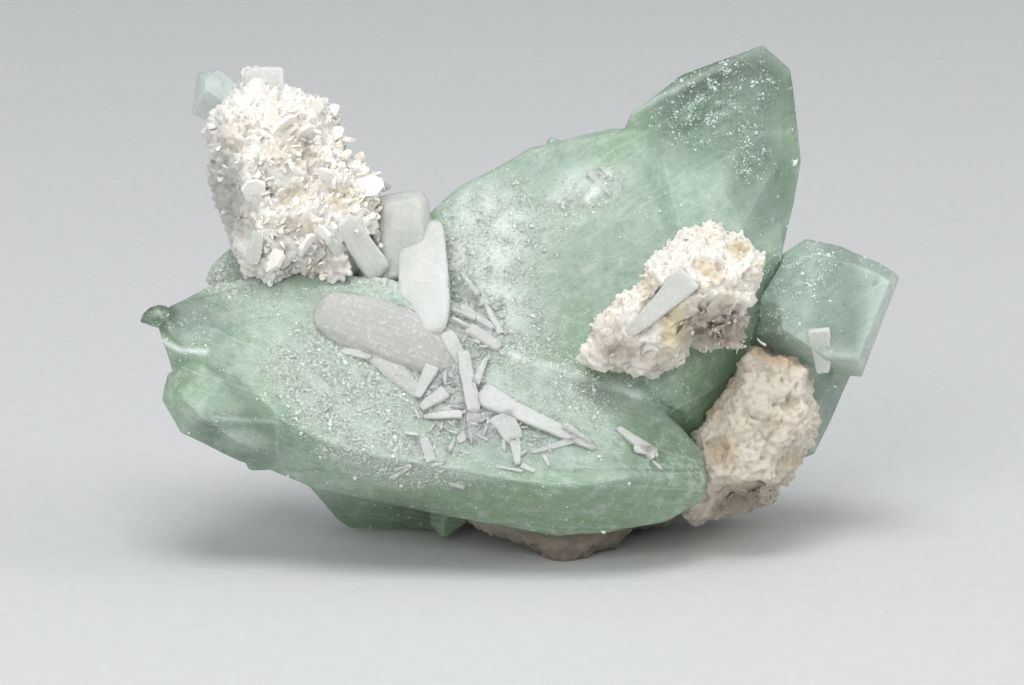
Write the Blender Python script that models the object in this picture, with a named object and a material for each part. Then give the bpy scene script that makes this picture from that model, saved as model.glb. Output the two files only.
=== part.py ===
"""A group of pale green apophyllite crystals with white stilbite blades and cream mordenite, 76 mm wide.

Everything is drawn in millimetres on a sheet that faces the viewer: X runs right, Z runs up the sheet and
Y runs back, away from the viewer. The finished group is turned so that the sheet leans back, cut flat where
it meets the ground, and scaled to metres with its origin on the ground under the middle of the group.
"""

import math

import bmesh
import bpy
from mathutils import Matrix, Vector, noise

METRE = 0.001
SHEET_LEAN = math.radians(12.0)  # the viewer looks down on the group by this angle
VIEW_DISTANCE = 600.0  # how far away the viewer is
GROUND = -20.9  # height of the ground under the group after the sheet is leant back
CLEARANCE = 0.3  # gap between neighbouring minerals
ROUGH_BLOCK = 90.0  # side of the block that each crystal is cut from

APOPHYLLITE = ("apophyllite", (0.42, 0.66, 0.52, 1.0), 0.18)
CORNER_APOPHYLLITE = ("corner_apophyllite", (0.58, 0.70, 0.64, 1.0), 0.2)
STILBITE = ("stilbite", (0.83, 0.83, 0.81, 1.0), 0.35)
MORDENITE = ("mordenite", (0.86, 0.80, 0.71, 1.0), 0.9)


# Crystals. Each is drawn as its outline seen from the front, clockwise, as (x, z, front, back): from that
# point to the next, the face in front of the edge leans inwards by the angle front and the one behind it by
# back, in degrees from edge-on. The girdle gives the depth of the outline: at x = z = 0, and its slope along
# x and along z. The free faces are a point on the face and the way that it looks.

FRONT_CRYSTAL = {
    "girdle": (-1.5, 0.0, 0.14),
    "outline": [
        (-36.1, 2.0, 42, 30),
        (-35.2, 3.8, 50, 25),
        (-30.7, 6.2, 48, 20),
        (-21.2, 7.4, 40, 20),
        (-13.0, 6.8, 35, 20),
        (-6.2, 4.3, 30, 25),
        (7.8, -1.9, 34, 30),
        (12.8, -5.0, 36, 30),
        (16.3, -7.9, 40, 30),
        (18.6, -10.7, 42, 30),
        (19.3, -13.5, 38, 30),
        (18.4, -15.7, 38, 30),
        (14.8, -17.6, 36, 30),
        (8.8, -18.8, 34, 25),
        (3.8, -19.1, 33, 20),
        (-7.2, -17.1, 33, 18),
        (-20.5, -14.4, 36, 18),
        (-27.2, -11.7, 42, 25),
        (-31.2, -7.8, 46, 30),
        (-34.8, -2.6, 46, 30),
    ],
    "free": [
        ((-10.0, -12.0, -13.0), (0.05, -1.0, 0.52)),
        ((10.0, -11.2, -13.0), (0.16, -1.0, 0.12)),
        ((-27.0, -7.6, -2.0), (-0.50, -1.0, 0.42)),
        ((-8.0, 10.0, -4.0), (0.05, 1.0, 0.05)),
    ],
}

FRONT_BLOCK = {
    "girdle": (-4.0, 0.0, 0.1),
    "outline": [
        (-35.3, -2.7, 40, 40),
        (-31.0, -0.6, 52, 40),
        (-27.0, -0.4, 60, 40),
        (-24.4, -4.6, 60, 40),
        (-22.2, -8.6, 60, 40),
        (-21.4, -12.0, 40, 40),
        (-27.4, -11.9, 34, 40),
        (-30.4, -10.5, 34, 40),
        (-33.8, -8.8, 36, 40),
        (-35.9, -5.3, 38, 40),
    ],
    "free": [
        ((-28.5, -11.8, -5.0), (-0.18, -1.0, 0.24)),
        ((-27.0, -11.0, -9.2), (-0.02, -1.0, -0.50)),
        ((-28.0, 4.0, -5.0), (0.0, 1.0, 0.0)),
    ],
}

LEFT_NUB = {
    "girdle": (-1.5, 0.0, 0.0),
    "outline": [
        (-37.9, 2.4, 30, 40),
        (-37.6, 3.1, 30, 40),
        (-36.9, 3.9, 40, 50),
        (-35.8, 4.2, 40, 50),
        (-33.4, 3.2, 50, 50),
        (-36.0, 1.7, 35, 45),
    ],
    "free": [((-35.6, -2.8, 3.0), (-0.2, -1.0, 0.3)), ((-35.6, 0.3, 3.0), (0.0, 1.0, 0.0))],
}

BACK_CRYSTAL = {
    "girdle": (3.0, 0.05, 0.12),
    "outline": [
        (-14.6, 6.0, 50, 40),
        (-11.4, 11.2, 50, 35),
        (-5.9, 15.9, 30, 25),
        (1.1, 19.9, 30, 25),
        (9.3, 21.8, 30, 25),
        (22.3, 22.9, 44, 30),
        (25.6, 19.2, 50, 30),
        (26.4, 9.2, 44, 35),
        (22.8, -1.0, 30, 40),
        (17.9, -9.1, 34, 45),
        (8.8, -11.8, 50, 45),
        (-6.2, -7.8, 50, 45),
        (-13.8, -1.0, 50, 45),
    ],
    "free": [
        ((8.0, -2.6, -2.0), (-0.05, -1.0, 0.33)),
        ((8.0, 14.0, 8.0), (0.10, 1.0, 0.10)),
        ((22.0, 10.0, 2.0), (0.55, 1.0, -0.20)),
    ],
}

PEAK_CRYSTAL = {
    "girdle": (5.0, 0.04, 0.10),
    "outline": [
        (8.4, 18.0, 44, 40),
        (11.2, 23.4, 40, 40),
        (13.7, 25.2, 38, 40),
        (16.1, 27.0, 50, 42),
        (24.4, 30.2, 52, 46),
        (25.6, 29.2, 52, 46),
        (27.2, 27.7, 30, 40),
        (28.3, 18.4, 32, 40),
        (27.5, 13.8, 36, 40),
        (26.2, 8.6, 40, 45),
        (23.4, -0.8, 50, 45),
        (16.0, -4.0, 50, 45),
        (9.0, 4.0, 50, 45),
    ],
    "free": [
        ((21.0, 3.6, 20.0), (0.16, -1.0, 0.30)),
        ((18.0, 14.0, 18.0), (-0.05, 1.0, 0.22)),
    ],
}

SMALL_CRYSTALS = {
    "back_left": {
        "girdle": (4.5, 0.0, 0.0),
        "outline": [
            (-31.4, 6.3, 45, 30),
            (-31.2, 7.3, 40, 30),
            (-30.4, 8.5, 40, 30),
            (-28.9, 9.8, 60, 30),
            (-25.8, 8.4, 45, 30),
            (-24.6, 5.4, 45, 30),
            (-27.0, 1.0, 45, 30),
        ],
        "free": [((-27.6, 1.2, 7.0), (0.25, -1.0, 0.35)), ((-27.6, 8.5, 7.0), (0.0, 1.0, 0.0))],
    },
    "top_tip": {
        "girdle": (7.0, 0.0, 0.0),
        "outline": [
            (1.6, 18.0, 40, 50),
            (2.9, 20.9, 40, 50),
            (3.4, 21.0, 50, 50),
            (4.9, 20.4, 50, 50),
            (7.0, 17.0, 50, 50),
        ],
        "free": [((4.0, 4.4, 19.0), (0.1, -1.0, 0.2)), ((4.0, 10.0, 19.0), (0.0, 1.0, 0.0))],
    },
    "under_left": {
        "girdle": (13.5, 0.0, 0.16),
        "outline": [
            (-21.2, -14.1, 50, 40),
            (-20.0, -6.0, 50, 40),
            (-8.2, -6.0, 50, 40),
            (-5.2, -12.0, 50, 40),
            (-6.9, -17.6, 45, 40),
            (-8.4, -18.5, 36, 40),
            (-16.9, -18.2, 42, 40),
            (-18.2, -17.4, 45, 40),
        ],
        "free": [((-14.0, 2.6, -15.6), (-0.25, -1.0, -0.40)), ((-13.0, 15.5, -15.0), (0.0, 1.0, 0.2))],
    },
    "under_tip": {
        "girdle": (7.0, 0.0, 0.0),
        "outline": [
            (-9.4, -15.4, 45, 40),
            (-9.0, -10.0, 45, 40),
            (-4.0, -10.0, 45, 40),
            (-3.4, -15.2, 45, 40),
            (-5.1, -17.8, 42, 40),
            (-6.7, -18.8, 42, 40),
            (-7.6, -19.4, 42, 40),
            (-8.9, -18.0, 42, 40),
        ],
        "free": [((-6.5, 1.4, -17.0), (-0.3, -1.0, -0.15)), ((-6.5, 12.0, -17.0), (0.0, 1.0, 0.0))],
    },
    "under_nick": {
        "girdle": (-1.5, 0.0, 0.0),
        "outline": [
            (-28.0, -10.6, 45, 40),
            (-26.0, -8.0, 50, 40),
            (-23.2, -10.0, 45, 40),
            (-24.6, -12.8, 45, 40),
            (-25.7, -12.7, 45, 40),
            (-27.0, -12.7, 45, 40),
        ],
        "free": [((-25.5, -5.2, -12.0), (-0.2, -1.0, -0.2)), ((-25.5, 3.0, -12.0), (0.0, 1.0, 0.0))],
    },
}

SIDE_CRYSTAL = {
    "girdle": (5.0, 0.03, 0.05),
    "outline": [
        (22.6, 5.2, 30, 40),
        (26.0, 9.0, 24, 40),
        (28.7, 10.7, 20, 40),
        (32.1, 10.0, 16, 40),
        (36.3, 8.2, 16, 40),
        (38.1, 6.9, 14, 40),
        (34.3, -3.2, 20, 40),
        (31.9, -3.0, 14, 40),
        (28.1, -1.8, 20, 40),
        (23.2, 1.0, 30, 40),
    ],
    "free": [
        ((32.0, 1.4, 4.0), (0.12, -1.0, 0.10)),
        ((31.0, 12.5, 3.0), (0.20, 1.0, 0.10)),
    ],
}

SIDE_CRYSTAL_BELOW = {
    "girdle": (9.0, 0.0, 0.0),
    "outline": [
        (26.0, 3.0, 40, 40),
        (32.0, 3.0, 30, 40),
        (33.5, -2.4, 30, 35),
        (33.1, -3.3, 30, 35),
        (31.7, -6.4, 30, 35),
        (29.6, -10.9, 30, 35),
        (27.9, -11.5, 40, 40),
        (24.0, -10.8, 40, 40),
        (23.0, -3.4, 40, 40),
    ],
    "free": [((31.0, 5.6, -6.0), (0.25, -1.0, 0.05)), ((30.0, 13.5, -6.0), (0.1, 1.0, 0.0))],
}

CORNER_CRYSTAL = {
    "girdle": (8.5, 0.0, 0.0),
    "outline": [
        (-32.8, 23.2, 26, 40),
        (-32.1, 27.3, 24, 40),
        (-29.9, 27.7, 40, 40),
        (-27.6, 25.8, 50, 40),
        (-26.0, 23.6, 50, 40),
        (-28.0, 21.2, 50, 40),
        (-30.8, 22.2, 30, 40),
    ],
    "free": [
        ((-31.2, 6.0, 25.4), (-0.10, -1.0, 0.12)),
        ((-28.6, 6.2, 25.0), (0.45, -1.0, 0.40)),
        ((-29.6, 11.5, 25.0), (0.0, 1.0, 0.1)),
    ],
}


def seen_at(x, z, y):
    """A point seen at x, z on the sheet that is y behind it: it is drawn larger the farther back it is."""
    return Vector((x, 0.0, z)) * (1.0 + y / VIEW_DISTANCE) + Vector((0.0, y, 0.0))


def on_sheet(x, z, girdle):
    """The outline's point at x, z, at the depth that the girdle has there."""
    depth, along_x, along_z = girdle
    return seen_at(x, z, depth + along_x * x + along_z * z)


def faces_of(crystal):
    """Every face of a crystal as a point on it and its outward normal."""
    faces = [(Vector(point), Vector(normal).normalized()) for point, normal in crystal["free"]]
    outline, girdle = crystal["outline"], crystal["girdle"]
    area = sum(a[0] * b[1] - b[0] * a[1] for a, b in zip(outline, outline[1:] + outline[:1]))
    clockwise = 1.0 if area < 0 else -1.0
    for here, there in zip(outline, outline[1:] + outline[:1]):
        start, end = on_sheet(here[0], here[1], girdle), on_sheet(there[0], there[1], girdle)
        along = (end - start).normalized()
        outward = Vector((-(end - start).z, 0.0, (end - start).x)).normalized() * clockwise
        for lean, look in ((here[2], -1.0), (here[3], 1.0)):
            angle = math.radians(lean)
            normal = outward * math.cos(angle) + Vector((0.0, look * math.sin(angle), 0.0))
            normal -= along * normal.dot(along)
            faces.append((start, normal.normalized()))
    return faces


def cut_crystal(crystal, grown=0.0):
    """A crystal cut from a block, one face at a time. Each face is moved outwards by grown."""
    faces = faces_of(crystal)
    middle = sum((Vector((x, 0.0, z)) for x, z, *_ in crystal["outline"]), Vector()) / len(crystal["outline"])
    middle.y = crystal["girdle"][0]
    block = bmesh.new()
    bmesh.ops.create_cube(block, size=ROUGH_BLOCK, matrix=Matrix.Translation(middle))
    for point, normal in faces:
        cut = bmesh.ops.bisect_plane(
            block,
            geom=block.verts[:] + block.edges[:] + block.faces[:],
            dist=1e-4,
            plane_co=point + normal * grown,
            plane_no=normal,
            clear_outer=True,
        )
        rim = [e for e in cut["geom_cut"] if isinstance(e, bmesh.types.BMEdge) and e.is_boundary]
        if rim:
            bmesh.ops.contextual_create(block, geom=rim)
    bmesh.ops.remove_doubles(block, verts=block.verts[:], dist=1e-3)
    bmesh.ops.dissolve_degenerate(block, edges=block.edges[:], dist=1e-3)
    bmesh.ops.recalc_face_normals(block, faces=block.faces[:])
    return block


def flat_blade(blade):
    """A thin flat crystal: an outline with a plane face in front and behind and bevelled edges."""
    outline = [(x, z, blade.get("bevel", 35), blade.get("bevel", 35)) for x, z in blade["outline"]]
    depth, along_x, along_z = blade["girdle"]
    middle = sum((Vector((x, 0.0, z)) for x, z in blade["outline"]), Vector()) / len(outline)
    middle.y = depth + along_x * middle.x + along_z * middle.z
    look = Vector((along_x, -1.0, along_z)).normalized()
    half = look * blade["thickness"] / 2.0
    free = [(tuple(middle + half), tuple(look)), (tuple(middle - half), tuple(-look))]
    return {"girdle": blade["girdle"], "outline": outline, "free": free}


# Stilbite. Flat blades: thickness and the girdle of each, and its outline.

SHEAF_BLADES = [
    {
        "girdle": (-6.9, 0.02, 0.30),
        "thickness": 4.6,
        "bevel": 50,
        "outline": [
            (-19.9, 4.5), (-18.4, 6.2), (-14.9, 7.0), (-9.9, 5.5), (-6.4, 3.0), (-5.9, 0.5),
            (-8.9, -2.0), (-12.4, -1.9), (-15.6, -0.2), (-19.4, 2.6),
        ],
    },
    {
        "girdle": (-6.4, 0.0, 0.48),
        "thickness": 3.4,
        "bevel": 50,
        "outline": [(-15.4, -0.2), (-9.0, 0.5), (-7.2, -0.9), (-10.2, -5.0), (-11.9, -3.6)],
    },
    {
        "girdle": (-5.2, 0.02, 0.1),
        "thickness": 3.8,
        "bevel": 45,
        "outline": [
            (-12.1, 8.5), (-11.4, 11.0), (-9.9, 11.8), (-7.9, 11.3), (-6.9, 10.0), (-6.9, 4.5),
            (-8.9, 2.0), (-11.9, 4.5),
        ],
    },
    {
        "girdle": (-4.6, 0.0, 0.3),
        "thickness": 3.4,
        "outline": [(-7.9, 1.4), (-7.5, 6.8), (-5.4, 7.2), (-3.6, 4.6), (-2.4, 1.5), (-4.0, -2.4)],
    },
    {
        "girdle": (-7.6, 0.05, 0.30),
        "thickness": 2.2,
        "outline": [
            (-4.9, -4.6), (-1.7, -4.6), (2.0, -5.8), (5.5, -7.7), (7.7, -10.3), (4.5, -9.5), (-3.7, -6.9),
        ],
    },
    {
        "girdle": (-6.6, 0.05, 0.41),
        "thickness": 2.2,
        "outline": [
            (-5.3, -4.8), (-3.9, -5.2), (-4.3, -9.9), (-4.9, -11.9), (-5.7, -14.0), (-7.0, -14.0),
            (-7.1, -13.2),
        ],
    },
    {
        "girdle": (-6.6, 0.0, 0.46),
        "thickness": 2.4,
        "outline": [(-2.2, -5.9), (0.3, -6.4), (0.2, -7.9), (-0.6, -10.5), (-1.7, -9.9)],
    },
    {
        "girdle": (-6.9, 0.05, 0.40),
        "thickness": 2.2,
        "outline": [(0.6, -7.0), (3.4, -8.2), (6.6, -9.7), (4.4, -10.4), (1.4, -10.7)],
    },
    {
        "girdle": (-5.6, 0.0, 0.44),
        "thickness": 3.6,
        "outline": [(-8.0, 0.6), (-5.0, 0.8), (-3.6, -1.4), (-4.6, -3.4), (-7.0, -3.2)],
    },
    {
        "girdle": (-6.0, 0.0, 0.44),
        "thickness": 3.2,
        "outline": [(-10.2, -3.2), (-6.6, -1.6), (-3.0, -3.0), (-1.6, -5.4), (-4.2, -7.6), (-8.0, -6.4)],
    },
]

FLAKE = {
    "girdle": (-6.0, 0.05, 0.42),
    "thickness": 1.8,
    "outline": [(10.0, -8.7), (11.4, -9.3), (13.2, -10.5), (13.2, -11.1), (12.0, -11.3), (10.8, -10.3)],
}
SIDE_BLADE = {
    "girdle": (-2.5, 0.1, 0.1),
    "thickness": 1.2,
    "outline": [(28.9, 1.7), (31.1, 1.4), (30.8, -0.6), (30.3, -2.3), (29.8, -2.3), (29.0, -1.2)],
}
BALL_BLADE = {
    "girdle": (-12.0, 0.0, 0.15),
    "thickness": 1.8,
    "outline": [
        (10.8, 1.1), (11.6, 2.8), (12.7, 4.4), (14.7, 6.2), (16.1, 7.4), (17.5, 6.6), (16.1, 5.0),
        (14.8, 3.8), (13.7, 2.8), (12.1, 1.8),
    ],
}
SADDLE_PLATES = [
    {
        "girdle": (0.2, -0.1, 0.1),
        "thickness": 3.0,
        "outline": [(-14.3, 15.2), (-11.5, 15.5), (-10.1, 15.7), (-8.9, 14.8), (-8.4, 7.0), (-15.4, 5.0)],
    },
    {
        "girdle": (-3.4, 0.0, 0.3),
        "thickness": 3.0,
        "outline": [(-17.9, 11.7), (-15.9, 12.5), (-12.6, 9.0), (-12.4, 5.4), (-16.6, 5.4)],
    },
]

# Mordenite. Each lump has its outline from the front, the middle of it, how far it swells towards the viewer
# and away, and the size and height of the knobs on it.

HORN = {
    "middle": (-23.8, 4.0, 15.5),
    "front": 8.0,
    "back": 7.0,
    "knob": (1.7, 1.5),
    "points": 1250,
    "seed": 3,
    "outline": [
        (-31.2, 22.7), (-31.4, 22.0), (-31.5, 20.9), (-31.4, 19.5), (-31.1, 18.4), (-31.2, 17.1),
        (-30.6, 16.0), (-30.2, 14.5), (-29.6, 13.6), (-29.6, 11.9), (-29.1, 10.7), (-28.6, 8.6),
        (-27.6, 6.0), (-25.2, 5.2), (-21.9, 5.0), (-17.9, 5.2), (-14.6, 6.3), (-13.4, 9.0),
        (-13.6, 13.2), (-14.4, 15.6), (-15.1, 17.8), (-16.6, 18.6), (-17.6, 18.7), (-17.9, 20.0),
        (-18.4, 20.8), (-18.6, 22.0), (-19.3, 23.4), (-20.1, 24.5), (-21.3, 24.9), (-22.6, 25.7),
        (-24.5, 26.2), (-27.0, 25.8), (-29.4, 25.0), (-30.7, 24.0),
    ],
}
HORN_BLADES = [
    {
        "girdle": (3.0, 0.0, 0.0),
        "thickness": 2.2,
        "outline": [(-27.7, 24.0), (-27.6, 27.5), (-23.4, 27.5), (-23.2, 24.0)],
    },
    {
        "girdle": (3.5, 0.0, 0.0),
        "thickness": 1.4,
        "outline": [(-20.6, 22.2), (-17.9, 23.2), (-17.6, 22.5), (-18.8, 21.6)],
    },
    {
        "girdle": (4.0, 0.0, 0.0),
        "thickness": 1.5,
        "outline": [(-15.9, 15.8), (-13.8, 16.4), (-12.8, 15.7), (-14.6, 14.8)],
    },
    {
        "girdle": (-3.0, 0.0, 0.1),
        "thickness": 1.4,
        "outline": [(-24.0, 10.6), (-21.3, 9.5), (-23.1, 8.4), (-24.6, 7.6)],
    },
]

MIDDLE_BALL = {
    "middle": (15.4, -3.6, 3.4),
    "front": 8.4,
    "back": 6.0,
    "knob": (1.6, 1.3),
    "points": 850,
    "seed": 7,
    "outline": [
        (6.5, -2.1), (6.1, -0.5), (6.9, 0.4), (7.4, 2.3), (9.3, 4.4), (11.3, 5.5), (12.7, 6.7),
        (12.7, 7.7), (13.3, 8.9), (14.7, 9.7), (16.5, 11.7), (18.1, 11.3), (18.7, 12.5), (20.7, 11.7),
        (21.7, 10.9), (23.0, 10.9), (23.8, 9.5), (24.7, 8.7), (24.5, 7.6), (23.9, 6.3), (23.8, 3.4),
        (23.2, 1.2), (21.5, -0.5), (20.0, -0.7), (16.7, -0.6), (15.7, -2.4), (14.1, -3.0),
        (11.6, -3.1), (9.5, -2.7),
    ],
}
RIGHT_BALL = {
    "middle": (23.8, 6.0, -9.0),
    "front": 10.0,
    "back": 13.0,
    "knob": (1.7, 1.4),
    "points": 900,
    "seed": 9,
    "outline": [
        (16.8, -8.9), (17.7, -8.3), (19.0, -6.4), (20.2, -4.7), (21.1, -3.2), (22.2, -1.4),
        (22.4, 0.1), (23.4, 0.6), (27.0, -1.2), (29.5, -2.4), (29.4, -4.1), (29.5, -5.1), (30.6, -6.9),
        (30.0, -7.4), (29.9, -9.3), (28.2, -11.4), (27.4, -12.7), (26.4, -13.3), (25.8, -14.4),
        (25.8, -15.5), (25.4, -16.4), (24.0, -16.1), (23.2, -16.8), (21.9, -16.7), (20.3, -17.0),
        (18.8, -17.2), (17.4, -17.5), (16.1, -16.7),
    ],
}
MATRIX = {
    "middle": (4.0, 13.0, -7.0),
    "front": 9.0,
    "back": 12.0,
    "knob": (2.8, 2.4),
    "points": 700,
    "seed": 5,
    "outline": [
        (-14.0, -6.0), (-12.0, 2.0), (-4.0, 8.0), (8.0, 11.0), (17.0, 8.0), (21.0, 0.0), (21.0, -9.0),
        (17.0, -16.6), (9.0, -19.0), (-1.0, -19.0), (-9.0, -17.6), (-14.0, -13.0),
    ],
}
FOOT = {
    "middle": (3.8, 2.0, -17.8),
    "front": 4.4,
    "back": 12.0,
    "knob": (1.5, 1.1),
    "points": 400,
    "seed": 6,
    "outline": [
        (-5.9, -17.0), (-3.9, -18.5), (0.1, -19.4), (2.6, -21.2), (3.6, -21.9), (5.6, -21.9),
        (7.1, -21.1), (8.1, -20.5), (9.6, -20.1), (10.3, -19.4), (11.2, -18.4), (11.4, -15.0),
        (4.0, -13.0), (-3.0, -13.4),
    ],
}
MAIN_CRYSTALS = [FRONT_CRYSTAL, FRONT_BLOCK, LEFT_NUB, BACK_CRYSTAL, PEAK_CRYSTAL, *SMALL_CRYSTALS.values()]
SIDE_CRYSTALS = [SIDE_CRYSTAL, SIDE_CRYSTAL_BELOW]
FULLNESS = 0.72  # below one, a lump is blunter than an ellipsoid
KNOB_MIDDLE = 0.35  # how far from its middle, in knob sizes, a knob neither swells nor sinks
WAVE_HEIGHT = 0.6  # height of the broad waves under the knobs, in knob heights
WAVE_LENGTH = 2.6  # length of the broad waves, in knob sizes
SLANT_ALLOWANCE = 1.15  # a lump grows this much more than asked, because it grows outwards from its middle
GOLDEN_TURN = math.pi * (3.0 - math.sqrt(5.0))  # the turn that spreads points evenly over a ball


def outline_radius(outline, middle_x, middle_z, angle):
    """How far the outline is from the middle in the direction of angle."""
    way_x, way_z = math.cos(angle), math.sin(angle)
    reach = 0.0
    for (ax, az), (bx, bz) in zip(outline, outline[1:] + outline[:1]):
        edge_x, edge_z = bx - ax, bz - az
        across = way_x * edge_z - way_z * edge_x
        if abs(across) < 1e-9:
            continue
        to_x, to_z = ax - middle_x, az - middle_z
        distance = (to_x * edge_z - to_z * edge_x) / across
        share = (to_x * way_z - to_z * way_x) / across
        if distance > 0.0 and -1e-6 <= share <= 1.0 + 1e-6:
            reach = max(reach, distance)
    return reach


def knobbly_lump(lump, grown=0.0):
    """A closed lump with the given outline, covered in rounded knobs, and moved outwards by grown."""
    mesh = bmesh.new()
    for i in range(lump["points"]):
        y = 1.0 - 2.0 * (i + 0.5) / lump["points"]
        ring = math.sqrt(1.0 - y * y)
        turn = GOLDEN_TURN * i
        mesh.verts.new((ring * math.cos(turn), y, ring * math.sin(turn)))
    bmesh.ops.convex_hull(mesh, input=mesh.verts[:])
    middle_x, middle_y, middle_z = lump["middle"]
    size, height = lump["knob"]
    shift = Vector((lump["seed"] * 7.3, lump["seed"] * 3.1, lump["seed"] * 5.7))
    for vert in mesh.verts:
        way = vert.co.normalized()
        angle = math.atan2(way.z, way.x)
        side = math.hypot(way.x, way.z) ** FULLNESS
        swell = lump["back"] if way.y > 0.0 else lump["front"]
        across = outline_radius(lump["outline"], middle_x, middle_z, angle) * side
        depth = swell * math.copysign(abs(way.y) ** FULLNESS, way.y)
        place = Vector((across * math.cos(angle), depth, across * math.sin(angle)))
        nearest = noise.voronoi((place + shift) / size)[0][0]
        wave = noise.noise((place + shift) / (size * WAVE_LENGTH))
        raised = height * (KNOB_MIDDLE - nearest + WAVE_HEIGHT * wave) + grown * SLANT_ALLOWANCE
        place += place.normalized() * raised
        place += Vector((middle_x, middle_y, middle_z))
        vert.co = seen_at(place.x, place.z, place.y)
    bmesh.ops.recalc_face_normals(mesh, faces=mesh.faces[:])
    return mesh


def named_object(name, mesh_data):
    """A mesh as an object in the scene."""
    mesh = bpy.data.meshes.new(name)
    mesh_data.to_mesh(mesh)
    mesh_data.free()
    thing = bpy.data.objects.new(name, mesh)
    bpy.context.scene.collection.objects.link(thing)
    return thing


def settle(thing):
    """Turn the modifiers of an object into its mesh."""
    bpy.context.view_layer.update()
    graph = bpy.context.evaluated_depsgraph_get()
    mesh = bpy.data.meshes.new_from_object(thing.evaluated_get(graph))
    thing.modifiers.clear()
    thing.data = mesh


def boolean(thing, other, operation):
    """Join another object to this one or cut it from this one, and remove it from the scene."""
    step = thing.modifiers.new("step", "BOOLEAN")
    step.operation = operation
    step.solver = "EXACT"
    step.object = other
    settle(thing)
    bpy.data.objects.remove(other)


def solid(form, grown=0.0):
    """The closed mesh of one form, with its surface moved outwards by grown."""
    if "knob" in form:
        return knobbly_lump(form, grown)
    if "thickness" in form:
        return cut_crystal(flat_blade(form), grown)
    return cut_crystal(form, grown)


def keep_largest(thing):
    """Drop the scraps that a cut leaves beside the main body."""
    mesh = bmesh.new()
    mesh.from_mesh(thing.data)
    left, bodies = set(mesh.verts), []
    while left:
        body, reached = set(), [next(iter(left))]
        while reached:
            vert = reached.pop()
            if vert in body:
                continue
            body.add(vert)
            reached += [e.other_vert(vert) for e in vert.link_edges]
        bodies.append(body)
        left -= body
    main = max(bodies, key=len)
    bmesh.ops.delete(mesh, geom=[v for v in mesh.verts if v not in main], context="VERTS")
    mesh.to_mesh(thing.data)
    mesh.free()


def cut_at_ground(mesh):
    """A flat where the piece stands on the ground."""
    cut = bmesh.ops.bisect_plane(
        mesh,
        geom=mesh.verts[:] + mesh.edges[:] + mesh.faces[:],
        plane_co=(0, 0, GROUND),
        plane_no=(0, 0, -1),
        clear_outer=True,
        dist=1e-4,
    )
    rim = [e for e in cut["geom_cut"] if isinstance(e, bmesh.types.BMEdge) and e.is_boundary]
    if rim:
        bmesh.ops.holes_fill(mesh, edges=rim)


for thing in list(bpy.data.objects):
    bpy.data.objects.remove(thing)

# Every piece: its name, the forms that make it, the pieces that it makes room for, its material and whether
# it is shaded smooth.
PIECES = [
    ("apophyllite_main", MAIN_CRYSTALS, [], APOPHYLLITE, False),
    ("apophyllite_right", SIDE_CRYSTALS, ["apophyllite_main"], APOPHYLLITE, False),
    ("apophyllite_corner", [CORNER_CRYSTAL], [], CORNER_APOPHYLLITE, False),
    ("stilbite_ball_blade", [BALL_BLADE], [], STILBITE, False),
    ("stilbite_side_blade", [SIDE_BLADE], ["apophyllite_right"], STILBITE, False),
    ("stilbite_flake", [FLAKE], ["apophyllite_main"], STILBITE, False),
    ("stilbite_sheaf", SHEAF_BLADES, ["apophyllite_main"], STILBITE, False),
    ("stilbite_saddle", SADDLE_PLATES, ["apophyllite_main", "stilbite_sheaf"], STILBITE, False),
    (
        "mordenite_horn",
        [HORN, *HORN_BLADES],
        ["apophyllite_main", "apophyllite_corner", "stilbite_saddle", "stilbite_sheaf"],
        MORDENITE,
        True,
    ),
    (
        "mordenite_right_ball",
        [RIGHT_BALL],
        ["apophyllite_main", "apophyllite_right", "stilbite_side_blade"],
        MORDENITE,
        True,
    ),
    (
        "mordenite_middle_ball",
        [MIDDLE_BALL],
        ["apophyllite_main", "apophyllite_right", "mordenite_right_ball", "stilbite_ball_blade"],
        MORDENITE,
        True,
    ),
    (
        "mordenite_matrix",
        [MATRIX, FOOT],
        ["apophyllite_main", "apophyllite_right", "mordenite_right_ball"],
        MORDENITE,
        True,
    ),
]

FORMS = {name: forms for name, forms, *rest in PIECES}
LEAN = Matrix.Rotation(-SHEET_LEAN, 4, "X")
pieces = []
for name, forms, neighbours, colour, smooth in PIECES:
    piece = named_object(name, solid(forms[0]))
    for form in forms[1:]:
        boolean(piece, named_object("form", solid(form)), "UNION")
    for neighbour in neighbours:
        for form in FORMS[neighbour]:
            boolean(piece, named_object("room", solid(form, CLEARANCE)), "DIFFERENCE")
    keep_largest(piece)
    mesh = bmesh.new()
    mesh.from_mesh(piece.data)
    bmesh.ops.transform(mesh, matrix=LEAN, verts=mesh.verts[:])
    cut_at_ground(mesh)
    mesh.to_mesh(piece.data)
    mesh.free()
    pieces.append((piece, colour, smooth))

corners = [v.co for piece, *rest in pieces for v in piece.data.vertices]
middle_x = (min(c.x for c in corners) + max(c.x for c in corners)) / 2.0
middle_y = (min(c.y for c in corners) + max(c.y for c in corners)) / 2.0
to_origin = Matrix.Scale(METRE, 4) @ Matrix.Translation((-middle_x, -middle_y, -GROUND))
for piece, (slot, colour, roughness), smooth in pieces:
    piece.data.transform(to_origin)
    for face in piece.data.polygons:
        face.use_smooth = smooth
    material = bpy.data.materials.new(piece.name)
    material.use_nodes = True
    shader = material.node_tree.nodes["Principled BSDF"]
    shader.inputs["Base Color"].default_value = colour
    shader.inputs["Roughness"].default_value = roughness
    shader.inputs["Metallic"].default_value = 0.0
    piece.data.materials.clear()
    piece.data.materials.append(material)
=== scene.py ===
"""A group of pale green apophyllite crystals with white stilbite blades and cream mordenite, on a pale table."""

import math
import random

import bmesh
import bpy
import numpy as np
from mathutils import Euler, Matrix, Vector, noise
from mathutils.bvhtree import BVHTree


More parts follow.
